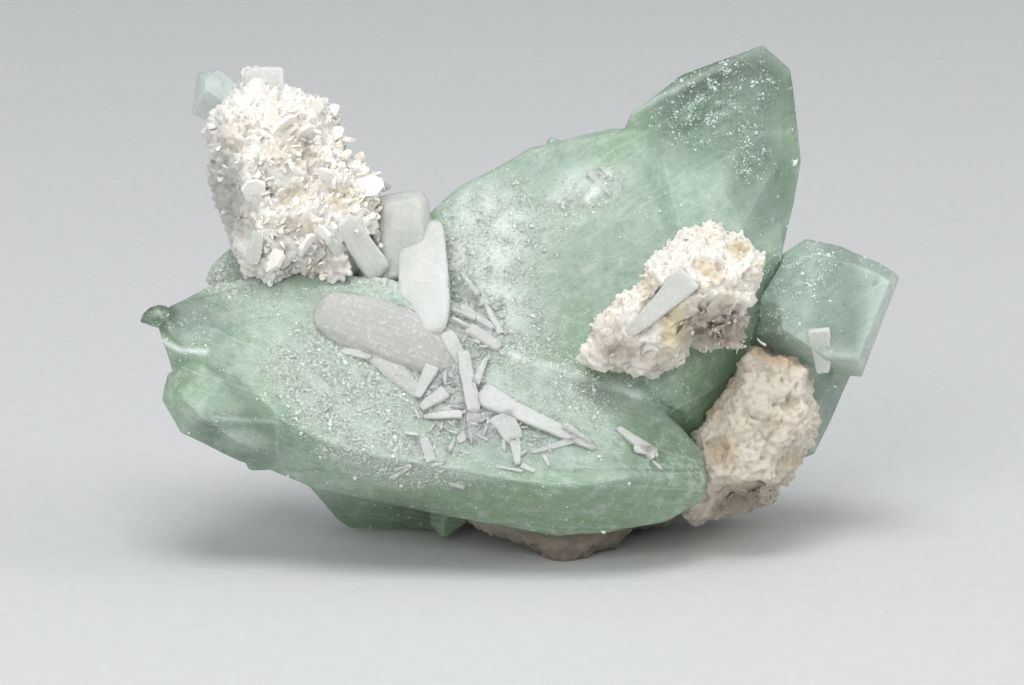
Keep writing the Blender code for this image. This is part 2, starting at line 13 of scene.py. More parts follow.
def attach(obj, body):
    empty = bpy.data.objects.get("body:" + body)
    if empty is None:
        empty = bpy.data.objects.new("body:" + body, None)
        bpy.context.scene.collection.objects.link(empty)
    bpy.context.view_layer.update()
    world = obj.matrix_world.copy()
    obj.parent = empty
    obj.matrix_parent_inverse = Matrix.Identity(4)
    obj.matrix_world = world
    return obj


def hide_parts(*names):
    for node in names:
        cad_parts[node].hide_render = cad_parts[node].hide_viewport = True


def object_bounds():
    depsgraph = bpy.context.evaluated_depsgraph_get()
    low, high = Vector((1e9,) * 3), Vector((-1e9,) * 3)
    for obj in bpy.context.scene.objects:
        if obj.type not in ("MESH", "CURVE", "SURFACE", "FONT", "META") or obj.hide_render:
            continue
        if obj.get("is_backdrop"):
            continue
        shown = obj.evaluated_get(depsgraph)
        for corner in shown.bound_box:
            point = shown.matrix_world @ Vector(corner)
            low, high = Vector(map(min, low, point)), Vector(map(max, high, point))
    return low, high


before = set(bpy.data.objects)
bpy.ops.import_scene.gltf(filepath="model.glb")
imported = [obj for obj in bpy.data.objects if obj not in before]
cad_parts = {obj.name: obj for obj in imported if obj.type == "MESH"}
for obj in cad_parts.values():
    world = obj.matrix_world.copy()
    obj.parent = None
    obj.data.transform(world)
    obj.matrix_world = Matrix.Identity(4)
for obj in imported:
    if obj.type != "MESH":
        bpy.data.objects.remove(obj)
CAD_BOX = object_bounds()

# The table and the light
# The group stands on a plain pale table in front of a plain pale wall. A soft lamp hangs above it, a larger and
# stronger one stands at the front left and a weak one at the right. Positions on the group are given as the viewer sees
# it: x to the right and z up on an upright sheet that leans back with the viewer's look, y behind that sheet, all in
# millimetres.
MM = 0.001
VIEWER_LEAN = math.radians(12.0)
VIEWER_DISTANCE = 600.0
SHEET_ZERO = Vector((-0.35, -3.80, 20.90))
LEAN = Matrix.Rotation(-VIEWER_LEAN, 3, "X")
PICTURE_WIDTH, PICTURE_HEIGHT = 1024, 685
VIEW_WIDTH = 102.4
VIEW_CENTRE = (-0.7, 0.25)


def in_frame(x, z, y=0.0):
    """The place in the frame of what is seen at x, z on the sheet, y millimetres behind it."""
    spread = 1.0 + y / VIEWER_DISTANCE
    return (LEAN @ Vector((x * spread, y, z * spread)) + SHEET_ZERO) * MM


def as_seen(places):
    """x and z on the sheet and y behind it, for an array of places in the frame."""
    flat = (np.asarray(places) / MM - np.array(SHEET_ZERO)) @ np.array(LEAN)
    spread = 1.0 + flat[:, 1] / VIEWER_DISTANCE
    return flat[:, 0] / spread, flat[:, 2] / spread, flat[:, 1]


def look_at(thing, place, target):
    """Put a lamp or the camera at a place, turned towards the target."""
    thing.location = place
    thing.rotation_euler = (Vector(target) - Vector(place)).to_track_quat("-Z", "Y").to_euler()


lens = bpy.data.cameras.new("viewer")
lens.sensor_width = 36.0
lens.lens = 36.0 * VIEWER_DISTANCE / VIEW_WIDTH
lens.clip_start = 0.01
viewer = bpy.data.objects.new("viewer", lens)
bpy.context.scene.collection.objects.link(viewer)
VIEW_TARGET = in_frame(*VIEW_CENTRE)
TOWARDS_VIEWER = LEAN @ Vector((0.0, -1.0, 0.0))
look_at(viewer, VIEW_TARGET + TOWARDS_VIEWER * VIEWER_DISTANCE * MM, VIEW_TARGET)
bpy.context.scene.camera = viewer


def new_object(name, mesh):
    """A mesh as a piece in the scene."""
    thing = bpy.data.objects.new(name, mesh)
    bpy.context.scene.collection.objects.link(thing)
    return thing


def add_node(tree, kind, inputs=None, **settings):
    """A shader node with its settings, and its inputs set to values or joined to other nodes."""
    made = tree.nodes.new("ShaderNode" + kind)
    for key, value in settings.items():
        setattr(made, key, value)
    for key, value in (inputs or {}).items():
        if isinstance(value, bpy.types.NodeSocket):
            tree.links.new(value, made.inputs[key])
        else:
            made.inputs[key].default_value = value
    return made


def new_material(name, **sockets):
    """A material with a Principled shader, its node tree, its shader and the object's own coordinates."""
    material = bpy.data.materials.new(name)
    material.use_nodes = True
    tree = material.node_tree
    shader = tree.nodes["Principled BSDF"]
    for key, value in sockets.items():
        shader.inputs[key.replace("_", " ")].default_value = value
    return material, tree, shader, add_node(tree, "TexCoord").outputs["Object"]


def noise_node(tree, place, size, detail=4.0, roughness=0.55, stretch=None):
    """Noise whose lumps are about size millimetres across."""
    if stretch is not None:
        place = add_node(tree, "Mapping", {"Vector": place, "Scale": stretch[0], "Rotation": stretch[1]}).outputs[0]
    inputs = {"Vector": place, "Scale": 1.0 / (size * MM), "Detail": detail, "Roughness": roughness}
    return add_node(tree, "TexNoise", inputs).outputs[0]


def ramp_node(tree, value, low, high, start=0.0, end=1.0):
    """A value between low and high stretched to run from start to end."""
    inputs = {"Value": value, "From Min": low, "From Max": high, "To Min": start, "To Max": end}
    return add_node(tree, "MapRange", inputs, clamp=True).outputs[0]


def mix_node(tree, share, one, other):
    """One colour turning into another."""
    made = add_node(tree, "Mix", {0: share, 6: one, 7: other}, data_type="RGBA")
    return made.outputs[2]


def maths_node(tree, operation, one, other=0.0):
    """A sum, product or other step of arithmetic."""
    return add_node(tree, "Math", {0: one, 1: other}, operation=operation).outputs[0]


def bump_node(tree, height, depth, strength=1.0, under=None):
    """A bump whose full height is depth millimetres."""
    inputs = {"Height": height, "Distance": depth * MM, "Strength": strength}
    if under is not None:
        inputs["Normal"] = under
    return add_node(tree, "Bump", inputs).outputs[0]


TABLE_COLOUR = (0.56, 0.56, 0.55, 1.0)
table_material, tree, shader, place = new_material("table_finish", Roughness=0.6)
speckle = noise_node(tree, place, 2.0, detail=6.0)
tree.links.new(
    mix_node(tree, ramp_node(tree, speckle, 0.3, 0.7), TABLE_COLOUR, (0.59, 0.59, 0.58, 1.0)),
    shader.inputs["Base Color"],
)
sweep = bmesh.new()
SWEEP_WIDTH, SWEEP_FRONT, SWEEP_BACK, SWEEP_HEIGHT, SWEEP_BEND = 8.0, -3.0, 2.6, 3.0, 0.8
profile = [(SWEEP_FRONT, 0.0), (SWEEP_BACK - SWEEP_BEND, 0.0)]
for step in range(1, 17):
    turn = math.pi / 2.0 * step / 16
    y = SWEEP_BACK - SWEEP_BEND + SWEEP_BEND * math.sin(turn)
    profile.append((y, SWEEP_BEND * (1.0 - math.cos(turn))))
profile.append((SWEEP_BACK, SWEEP_HEIGHT))
rows = [[sweep.verts.new((side * SWEEP_WIDTH / 2.0, y, z)) for y, z in profile] for side in (-1, 1)]
for i in range(len(profile) - 1):
    sweep.faces.new((rows[0][i], rows[1][i], rows[1][i + 1], rows[0][i + 1])).smooth = True
sweep_mesh = bpy.data.meshes.new("table")
sweep.to_mesh(sweep_mesh)
sweep.free()
sweep_mesh.materials.append(table_material)
new_object("table", sweep_mesh)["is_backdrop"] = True

LAMPS = {
    "lamp_above": ((0.00, -0.22, 0.80), 0.40, 3.8),
    "lamp_front": ((-0.35, -0.85, 0.42), 0.55, 4.6),
    "lamp_side": ((0.80, -0.10, 0.35), 0.35, 1.8),
}
for name, (where, size, power) in LAMPS.items():
    lamp = bpy.data.lights.new(name, "AREA")
    lamp.shape = "SQUARE"
    lamp.size = size
    lamp.energy = power
    thing = bpy.data.objects.new(name, lamp)
    bpy.context.scene.collection.objects.link(thing)
    look_at(thing, where, (0.0, 0.0, 0.02))
world = bpy.data.worlds.new("room")
world.use_nodes = True
world.node_tree.nodes["Background"].inputs["Color"].default_value = (0.80, 0.84, 0.90, 1.0)
world.node_tree.nodes["Background"].inputs["Strength"].default_value = 0.68
bpy.context.scene.world = world
bpy.context.scene.view_settings.view_transform = "Standard"


# The main apophyllite crystals
# Large steep crystals of pale green apophyllite, grown into each other. The tips and edges are clear, the insides are
# milky with fine cracks and bubbles, and the middle of the upper faces is crusted with sugary white frost.
def net_of(node):
    """The surface of a solid: its points in millimetres, and its triangles."""
    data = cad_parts[node].data
    data.calc_loop_triangles()
    places = np.zeros(len(data.vertices) * 3)
    data.vertices.foreach_get("co", places)
    corners = np.zeros(len(data.loop_triangles) * 3, dtype=np.int64)
    data.loop_triangles.foreach_get("vertices", corners)
    points, first, welded = np.unique(
        np.round(places.reshape(-1, 3) / MM, 4), axis=0, return_index=True, return_inverse=True
    )
    triangles = welded.reshape(-1)[corners].reshape(-1, 3)
    different = (triangles != np.roll(triangles, 1, axis=1)).all(axis=1)
    return points, triangles[different]


def refined(points, triangles, edge):
    """Halve the longest sides until none is longer than edge millimetres."""
    while True:
        corners = points[triangles]
        sides = np.linalg.norm(corners - np.roll(corners, -1, axis=1), axis=2)
        longest = sides.argmax(axis=1)
        rows = np.arange(len(triangles))
        start = triangles[rows, longest]
        end = triangles[rows, (longest + 1) % 3]
        far = triangles[rows, (longest + 2) % 3]
        key = np.minimum(start, end) * len(points) + np.maximum(start, end)
        key[sides[rows, longest] <= edge] = -1 - rows[sides[rows, longest] <= edge]
        shared, index, count = np.unique(key, return_inverse=True, return_counts=True)
        split = (count[index] == 2) & (key >= 0)
        if not split.any():
            return points, triangles
        names, middle = np.unique(key[split], return_inverse=True)
        halves = (points[names // len(points)] + points[names % len(points)]) / 2.0
        middle = middle + len(points)
        points = np.vstack([points, halves])
        first = np.column_stack([start[split], middle, far[split]])
        second = np.column_stack([middle, end[split], far[split]])
        triangles = np.vstack([triangles[~split], first, second])


def softened(points, triangles, rounds, share=0.5):
    """Round off the sharp edges by drawing each point towards its neighbours."""
    pairs = np.vstack([triangles[:, [0, 1]], triangles[:, [1, 2]], triangles[:, [2, 0]]])
    pairs = np.vstack([pairs, pairs[:, ::-1]])
    count = np.bincount(pairs[:, 0], minlength=len(points))[:, None]
    for _ in range(rounds):
        total = np.zeros_like(points)
        for axis in range(3):
            total[:, axis] = np.bincount(pairs[:, 0], weights=points[pairs[:, 1], axis], minlength=len(points))
        points = points * (1.0 - share) + total / np.maximum(count, 1) * share
    return points


def normals_of(points, triangles):
    """The outward direction at each point."""
    corners = points[triangles]
    face = np.cross(corners[:, 1] - corners[:, 0], corners[:, 2] - corners[:, 0])
    total = np.zeros_like(points)
    for axis in range(3):
        for corner in range(3):
            total[:, axis] += np.bincount(triangles[:, corner], weights=face[:, axis], minlength=len(points))
    return total / np.maximum(np.linalg.norm(total, axis=1), 1e-12)[:, None]


def waves(points, size, seed=0.0, stretch=(1.0, 1.0, 1.0)):
    """Smooth noise from about minus one to one whose waves are size millimetres long."""
    places = points * (np.array(stretch) / size) + seed
    return np.array([noise.noise(p) for p in places.tolist()])


def to_piece(name, points, triangles, material, node=None, slot="apophyllite", smooth=True, marks=None):
    """Turn a net in millimetres into a piece that rides with the group, and lay flat what would dip into the table."""
    points = np.column_stack([points[:, 0], points[:, 1], np.maximum(points[:, 2], 0.0)])
    data = bpy.data.meshes.new(name)
    data.vertices.add(len(points))
    data.vertices.foreach_set("co", (points * MM).astype(np.float32).ravel())
    data.loops.add(triangles.size)
    data.loops.foreach_set("vertex_index", triangles.astype(np.int32).ravel())
    data.polygons.add(len(triangles))
    data.polygons.foreach_set("loop_start", np.arange(0, triangles.size, 3, dtype=np.int32))
    data.polygons.foreach_set("use_smooth", np.full(len(triangles), smooth))
    data.update(calc_edges=True)
    data.validate()
    for key, values in (marks or {}).items():
        layer = data.attributes.new(key, "FLOAT", "POINT")
        layer.data.foreach_set("value", np.asarray(values, dtype=np.float32))
    data.materials.append(material)
    piece = new_object(name, data)
    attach(piece, "root")
    if node:
        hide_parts(node)
    return piece


def patch(x, z, centre_x, centre_z, half_x, half_z, turn=0.0):
    """A soft-edged patch: one at its centre and nothing outside the ellipse."""
    c, s = math.cos(math.radians(turn)), math.sin(math.radians(turn))
    across, up = x - centre_x, z - centre_z
    along_x, along_z = across * c + up * s, up * c - across * s
    reach = (along_x / half_x) ** 2 + (along_z / half_z) ** 2
    return np.clip(1.25 - reach, 0.0, 1.0)


# Frost patches: the middle, the half widths and the turn of each, and how thick it is.
FROST_PATCHES = [
    (-7.0, -5.5, 6.0, 4.5, -20.0, 0.8),
    (-24.0, 4.4, 9.0, 2.4, 12.0, 0.26),
    (-13.4, 6.4, 5.0, 2.0, -15.0, 0.8),
    (-17.5, -4.0, 9.5, 6.5, -25.0, 1.0),
    (-13.0, -10.5, 8.0, 3.5, -10.0, 0.9),
    (-4.0, 8.0, 6.5, 9.5, -30.0, 0.95),
    (-2.0, 2.0, 7.0, 6.0, -40.0, 0.7),
    (8.0, 15.5, 3.6, 2.2, 30.0, 0.7),
    (2.5, 12.5, 7.0, 3.0, 38.0, 0.6),
    (4.0, -5.0, 7.0, 4.0, -25.0, 0.45),
    (-29.0, 7.0, 3.6, 2.8, 0.0, 0.9),
]
# The lower front edge, worn round.
WORN_EDGE = [(-25.0, -11.0, -3.9, -14.2, 1.8, 1.0), (-3.9, -14.2, 18.9, -13.5, 1.8, 1.0)]
# Deep green parts, partly painted shade: the lower bevels, which face down, and the corner in the right ball's shadow
# are painted a darker green as shade, and the thin rims are truly a deeper green.
DEEP_GREEN_AND_SHADE_PATCHES = [
    (0.0, -17.0, 24.0, 4.2, 2.0, 0.9),
    (16.5, -14.0, 5.0, 5.0, 0.0, 0.9),
    (19.5, -4.0, 4.2, 6.5, -30.0, 0.8),
    (-13.0, -17.5, 8.0, 3.0, 0.0, 1.0),
    (-22.5, -6.0, 3.0, 8.0, 30.0, 0.6),
    (11.0, 21.0, 6.0, 2.5, 35.0, 0.7),
    (28.0, 20.0, 2.2, 11.0, 5.0, 0.8),
    (6.5, 1.0, 4.0, 4.0, 0.0, 0.7),
    (-35.0, -4.0, 2.0, 7.0, 0.0, 0.5),
    (-36.8, 3.0, 2.0, 2.4, 0.0, 0.9),
    (-34.0, -3.0, 3.4, 3.2, 0.0, 0.9),
    (15.0, -10.5, 6.0, 4.4, -20.0, 0.9),
    (-29.5, 6.5, 2.0, 3.0, 0.0, 0.6),
]
# Shadowy parts: painted shade and painted shadow in the clear window of the peak, at the corner by the right ball and
# on the left tip and block, broken up by the cracks inside.
SHADOW_PATCHES = [
    (19.5, 25.0, 6.5, 3.6, 30.0, 0.90),
    (22.6, 20.0, 2.4, 4.5, 10.0, 0.6),
    (27.0, 6.6, 2.4, 2.4, 0.0, 0.35),
    (26.5, 2.3, 1.8, 1.4, 30.0, 0.3),
    (31.0, -6.0, 2.4, 3.0, 0.0, 0.15),
    (-30.4, -7.6, 1.6, 1.4, 0.0, 0.4),
    (-22.6, -7.4, 1.6, 3.2, 35.0, 0.45),
    (-37.0, 3.4, 2.0, 2.4, 0.0, 0.5),
    (14.5, -11.5, 6.0, 3.4, -20.0, 0.60),
    (-35.0, -2.6, 2.4, 2.4, 0.0, 0.45),
    (17.0, 26.6, 1.6, 1.6, 0.0, 1.0),
    (21.0, 25.6, 1.4, 2.2, 20.0, 0.9),
    (-30.0, 1.6, 3.5, 1.2, 0.0, 0.25),
    (6.0, 3.0, 2.8, 4.0, 30.0, 0.15),
]
# Clear parts, through which the cracks inside show.
CLEAR_PATCHES = [
    (20.5, 24.0, 8.5, 6.0, 25.0, 1.0),
    (24.0, 17.0, 3.5, 6.0, 0.0, 0.8),
    (-32.0, 3.0, 6.0, 3.0, 15.0, 0.4),
    (-28.0, -9.5, 5.5, 3.0, 0.0, 0.6),
    (-36.0, 3.0, 2.5, 2.0, 0.0, 0.9),
    (-14.0, -17.0, 8.0, 2.4, 0.0, 0.5),
    (32.0, 0.0, 3.0, 12.0, 0.0, 0.55),
]


def most(patches, x, z):
    """The strongest of several soft-edged patches at a place."""
    total = np.zeros_like(np.asarray(x, dtype=float))
    for *shape, strength in patches:
        total = np.maximum(total, patch(x, z, *shape) * strength)
    return total


# Pale edges, bright growth lines and thin cracks: the ends of each line, how wide it is and how strong. The lines along
# the left tip are a painted glint and the two along the right crystal's lower and right bevels are painted highlight;
# the rest mark pale edges, growth lines and cracks.
PALE_AND_HIGHLIGHT_LINES = [
    (-36.0, 0.6, -34.0, -0.5, 0.35, 0.9),
    (-34.0, -0.5, -31.4, -0.7, 0.30, 0.8),
    (26.6, -0.6, 33.9, -1.8, 1.1, 0.45),
    (33.9, -1.8, 37.2, 6.0, 0.9, 0.30),
    (-1.9, -0.5, 12.1, -5.0, 0.45, 0.55),
    (6.9, 14.6, 8.9, 17.0, 0.5, 1.0),
    (-5.6, 14.0, -5.3, 6.5, 0.3, 0.5),
    (-3.7, 14.6, -3.3, 7.0, 0.3, 0.5),
    (-1.6, 12.6, -1.9, 5.0, 0.25, 0.4),
    (0.4, 14.6, -0.4, 9.5, 0.3, 0.35),
    (-30.7, -7.3, -24.1, -7.7, 0.25, 0.35),
    (-24.2, -7.8, -24.2, -10.8, 0.2, 0.18),
    (-36.2, 3.4, -34.8, 1.9, 0.2, 0.35),
    (11.2, 23.4, 24.4, 30.0, 0.35, 0.6),
]
# Whitish parts, where the frost has grown together into a thin white skin.
WHITE_PATCHES = [
    (-3.2, 11.0, 4.6, 5.4, 0.0, 0.50),
    (-5.0, -4.6, 6.0, 3.4, -25.0, 0.40),
    (-13.4, 6.9, 5.0, 1.7, -15.0, 0.38),
    (5.6, 16.2, 3.6, 1.6, 38.0, 0.30),
    (-2.6, 3.4, 3.8, 4.0, 0.0, 0.45),
    (-32.0, 1.0, 2.6, 1.0, 0.0, 0.22),
    (-27.4, -9.4, 3.2, 1.7, 0.0, 0.22),
    (24.0, 13.8, 2.4, 4.0, 0.0, 0.14),
]
# Dark lines along edges and cracks, carved in as grooves and painted darker as shade in them: the ends of each line,
# how wide it is and how strong.
DARK_LINES = [
    (-24.4, -5.5, -20.9, -10.0, 0.6, 0.8),
    (-30.0, -8.4, -25.0, -8.5, 0.4, 0.35),
    (12.0, -3.4, 18.6, -9.6, 0.6, 0.7),
    (22.4, 22.0, 20.6, 24.6, 1.0, 0.8),
    (15.0, 22.0, 19.0, 24.4, 0.9, 0.6),
    (-3.4, -4.8, 7.0, -10.6, 0.6, 0.35),
]
# The top edge of the front crystal, above which the back one shows.
FRONT_EDGE = [(-36.0, 3.6), (-21.2, 7.4), (-13.0, 6.8), (-6.2, 4.3), (7.8, -1.9), (16.3, -7.9), (19.3, -13.5)]
FRONT_GRAIN, BACK_GRAIN, BAND_GRAIN = math.radians(-20.0), math.radians(31.0), math.radians(-3.0)


def near_lines(lines, x, z):
    """How close a place is to one of the drawn lines: one on it, nothing a few widths off."""
    total = np.zeros_like(x)
    for start_x, start_z, end_x, end_z, width, strength in lines:
        way = np.array([end_x - start_x, end_z - start_z])
        share = np.clip(((x - start_x) * way[0] + (z - start_z) * way[1]) / (way @ way), 0.0, 1.0)
        gap = np.hypot(x - start_x - share * way[0], z - start_z - share * way[1])
        total = np.maximum(total, strength * np.exp(-((gap / width) ** 2)))
    return total


def across_grain(x, z):
    """Millimetres across the growth lines, which run along each crystal and along its lower faces."""
    edge = np.interp(x, *np.array(FRONT_EDGE).T)
    front = z < edge
    turn = np.where(front, np.where(z < -12.5, BAND_GRAIN, FRONT_GRAIN), BACK_GRAIN)
    return z * np.cos(turn) - x * np.sin(turn)


def crystal_marks(points):
    """How frosted, green, clear and lined each point of a crystal is, and where painted shade and painted highlight lie
    on it.
    """
    x, z, y = as_seen(points * MM)
    front = np.clip((9.0 - y) / 3.0, 0.0, 1.0)
    return {
        "frost": most(FROST_PATCHES, x, z) * front,
        "green": most(DEEP_GREEN_AND_SHADE_PATCHES, x, z),
        "clear": most(CLEAR_PATCHES, x, z),
        "shadow": most(SHADOW_PATCHES, x, z) * front,
        "pale_and_highlight": np.maximum(near_lines(PALE_AND_HIGHLIGHT_LINES, x, z), most(WHITE_PATCHES, x, z)) * front,
        "dark_line": near_lines(DARK_LINES, x, z) * front,
        "across": across_grain(x, z),
    }


def crystal_material(name, pale, deep, milk=1.0):
    """Green crystal: milky inside, clear at the tips, with frost, speckles and growth lines on its faces, and painted
    shade and painted highlight where its marks lie.
    """
    material, tree, shader, place = new_material(name, IOR=1.535)
    marks = ("frost", "green", "clear", "shadow", "pale_and_highlight", "dark_line", "across")
    frost, green, clear, shadow, pale_and_highlight, dark_line, across = (
        add_node(tree, "Attribute", attribute_name=mark).outputs["Fac"] for mark in marks
    )
    clouds = noise_node(tree, place, 6.0, detail=6.0, roughness=0.6)
    grains = noise_node(tree, place, 0.30, detail=3.0, roughness=0.7)
    veils = noise_node(tree, place, 1.3, detail=8.0, roughness=0.75)
    wander = maths_node(tree, "MULTIPLY", noise_node(tree, place, 2.5, detail=3.0), 1.4)
    lines_inputs = {"W": maths_node(tree, "ADD", across, wander), "Scale": 2.2, "Detail": 6.0, "Roughness": 0.7}
    lines = add_node(tree, "TexNoise", lines_inputs, noise_dimensions="1D").outputs[0]

    # The green mark is partly the crystal's own deeper green and partly painted shade on the down-facing bevels and in
    # the right ball's shadow.
    depth = maths_node(tree, "ADD", ramp_node(tree, clouds, 0.35, 0.65, -0.30, 0.35), green)
    colour = mix_node(tree, ramp_node(tree, depth, 0.0, 1.0), pale, deep)
    dark = (deep[0] * 0.55, deep[1] * 0.7, deep[2] * 0.65, 1.0)
    shade = maths_node(tree, "MULTIPLY", ramp_node(tree, veils, 0.46, 0.34), ramp_node(tree, clear, 0.0, 1.0, 0.45, 0.90))
    colour = mix_node(tree, shade, colour, dark)
    # Painted shade in the shadowy parts, broken up by the cracks.
    painted_shadow = maths_node(tree, "MULTIPLY", shadow, ramp_node(tree, veils, 0.36, 0.60, 1.0, 0.35))
    colour = mix_node(tree, painted_shadow, colour, (deep[0] * 0.45, deep[1] * 0.48, deep[2] * 0.58, 1.0))
    # Painted shade along the dark lines.
    colour = mix_node(tree, maths_node(tree, "MULTIPLY", dark_line, 0.7), colour, dark)
    bright = (0.76, 0.85, 0.77, 1.0)
    colour = mix_node(tree, ramp_node(tree, veils, 0.50, 0.66, 0.0, 0.75), colour, bright)
    colour = mix_node(tree, ramp_node(tree, lines, 0.52, 0.72, 0.0, 0.50), colour, bright)
    fine_inputs = {"W": maths_node(tree, "ADD", across, wander), "Scale": 9.0, "Detail": 4.0, "Roughness": 0.8}
    fine = add_node(tree, "TexNoise", fine_inputs, noise_dimensions="1D").outputs[0]
    streaks = maths_node(tree, "MULTIPLY", ramp_node(tree, fine, 0.50, 0.68), ramp_node(tree, clouds, 0.40, 0.62, 0.0, 0.7))
    colour = mix_node(tree, streaks, colour, bright)
    colour = mix_node(tree, ramp_node(tree, grains, 0.60, 0.70, 0.0, 0.60), colour, bright)
    crust = maths_node(tree, "MULTIPLY", frost, ramp_node(tree, grains, 0.35, 0.60, 0.45, 0.95))
    pepper = noise_node(tree, place, 0.22, detail=2.0, roughness=0.6)
    sugar = mix_node(tree, ramp_node(tree, pepper, 0.42, 0.58), (0.34, 0.40, 0.33, 1.0), (0.56, 0.60, 0.54, 1.0))
    colour = mix_node(tree, crust, colour, sugar)
    # Pale lines and white skin, partly painted highlight along the left tip and the right crystal's bevels.
    colour = mix_node(tree, pale_and_highlight, colour, (0.84, 0.90, 0.87, 1.0))
    tree.links.new(colour, shader.inputs["Base Color"])

    seen_into = ramp_node(tree, clear, 0.0, 1.0, 0.45, 0.92)
    seen_into = maths_node(tree, "MULTIPLY", seen_into, ramp_node(tree, crust, 0.0, 0.8, 1.0, 0.10))
    seen_into = maths_node(tree, "MULTIPLY", seen_into, ramp_node(tree, pale_and_highlight, 0.0, 0.8, 1.0, 0.3))
    tree.links.new(seen_into, shader.inputs["Transmission Weight"])
    gloss = maths_node(tree, "ADD", ramp_node(tree, veils, 0.3, 0.7, 0.04, 0.20), maths_node(tree, "MULTIPLY", crust, 0.40))
    tree.links.new(gloss, shader.inputs["Roughness"])
    low = bump_node(tree, lines, 0.10)
    low = bump_node(tree, veils, 0.12, under=low)
    tree.links.new(bump_node(tree, grains, 0.05, under=low), shader.inputs["Normal"])
    shader.inputs["Subsurface Weight"].default_value = 0.6 * milk
    shader.inputs["Subsurface Radius"].default_value = (0.9, 1.0, 0.95)
    shader.inputs["Subsurface Scale"].default_value = 2.0 * MM
    absorption = add_node(tree, "VolumeAbsorption", {"Color": (0.50, 0.80, 0.56, 1.0), "Density": 45.0})
    tree.links.new(absorption.outputs[0], tree.nodes["Material Output"].inputs["Volume"])
    return material


PALE_GREEN = (0.50, 0.63, 0.51, 1.0)
DEEP_GREEN = (0.38, 0.55, 0.34, 1.0)
MAIN_GREEN = crystal_material("apophyllite_finish", PALE_GREEN, DEEP_GREEN)


def main_relief(points):
    """Growth lines along the crystals, low steps, grooves and a grainy crust where frost sits."""
    marks = crystal_marks(points)
    x, z, y = as_seen(points * MM)
    lines = waves(np.column_stack([marks["across"] * 1.6, x * 0.10, y * 0.2]), 1.0)
    swell = waves(points, 5.0)
    steps = np.floor(6.0 * waves(points, 6.5, 5.0)) / 6.0
    grain = waves(points, 0.55)
    relief = 0.05 * lines + 0.12 * swell + 0.14 * steps + 0.10 * marks["frost"] * grain - 0.04
    return relief + 0.16 * marks["pale_and_highlight"] - 0.35 * marks["dark_line"]


def pushed(points, triangles, relief):
    """Move each point outwards by its relief."""
    return points + normals_of(points, triangles) * relief[:, None]


points, triangles = refined(*net_of("apophyllite_main"), 0.50)
points = softened(points, triangles, 1)
seen_x, seen_z, seen_y = as_seen(points * MM)
wear = near_lines(WORN_EDGE, seen_x, seen_z) * (seen_y < 8.0)
points = softened(points, triangles, 16, 0.6 * wear[:, None])
points = pushed(points, triangles, main_relief(points))
to_piece(
    "apophyllite_main_crystals", points, triangles, MAIN_GREEN, "apophyllite_main", marks=crystal_marks(points)
)
MAIN_NET = (points, triangles)


# The right-hand crystals
# Two smaller, clearer crystals of the same green stand behind the right ball of mordenite. They are bluer, with fine
# sparkling cracks inside the upper left part and a thin pale bevel along the top.
SIDE_GREEN = crystal_material("apophyllite_right_finish", (0.60, 0.72, 0.62, 1.0), (0.40, 0.52, 0.42, 1.0), 0.9)
CORNER_GREEN = crystal_material("apophyllite_corner_finish", (0.82, 0.87, 0.84, 1.0), (0.60, 0.68, 0.63, 1.0), 0.8)


def small_relief(points):
    """Low waves and steps."""
    return 0.05 * waves(points, 3.0) + 0.06 * np.floor(5.0 * waves(points, 4.0)) / 5.0 - 0.02


SIDE_NETS = {}
for node, finish in (("apophyllite_right", SIDE_GREEN), ("apophyllite_corner", CORNER_GREEN)):
    points, triangles = refined(*net_of(node), 0.4)
    points = softened(points, triangles, 1)
    points = pushed(points, triangles, small_relief(points))
    to_piece(node + "_crystals", points, triangles, finish, node, marks=crystal_marks(points))
    SIDE_NETS[node] = (points, triangles)


# The frost and the glints
# A sugary white frost of tiny crystals sits on the upper faces, and small loose cleavage flakes glint in the clear
# parts and along the seam between the two large crystals. Each is a tiny four-faced or eight-faced crystal.
SUGAR = (
    np.array([(1, 1, 1), (-1, -1, 1), (-1, 1, -1), (1, -1, -1)], dtype=float) / 2.0,
    np.array([(0, 2, 1), (0, 1, 3), (0, 3, 2), (1, 2, 3)]),
)
GRAIN = (
    np.array([(1, 0, 0), (-1, 0, 0), (0, 1, 0), (0, -1, 0), (0, 0, 1), (0, 0, -1)], dtype=float) / 2.0,
    np.array([(0, 2, 4), (2, 1, 4), (1, 3, 4), (3, 0, 4), (2, 0, 5), (1, 2, 5), (3, 1, 5), (0, 3, 5)]),
)


def unit(rows):
    """Directions of length one."""
    return rows / np.maximum(np.linalg.norm(rows, axis=1), 1e-9)[:, None]


def scattered(net, count, weight, seed):
    """Places strewn over a net, thicker where the weight is larger, with the outward direction at each."""
    points, triangles = net
    draw = np.random.default_rng(seed)
    corners = points[triangles]
    face = np.cross(corners[:, 1] - corners[:, 0], corners[:, 2] - corners[:, 0])
    share = np.linalg.norm(face, axis=1) * weight(corners.mean(axis=1), unit(face))
    picked = draw.choice(len(triangles), count, p=share / share.sum())
    along, across = draw.random((2, count, 1))
    over = along + across > 1.0
    along, across = np.where(over, 1.0 - along, along), np.where(over, 1.0 - across, across)
    corner = corners[picked]
    places = corner[:, 0] + along * (corner[:, 1] - corner[:, 0]) + across * (corner[:, 2] - corner[:, 0])
    return places, unit(face[picked]), draw


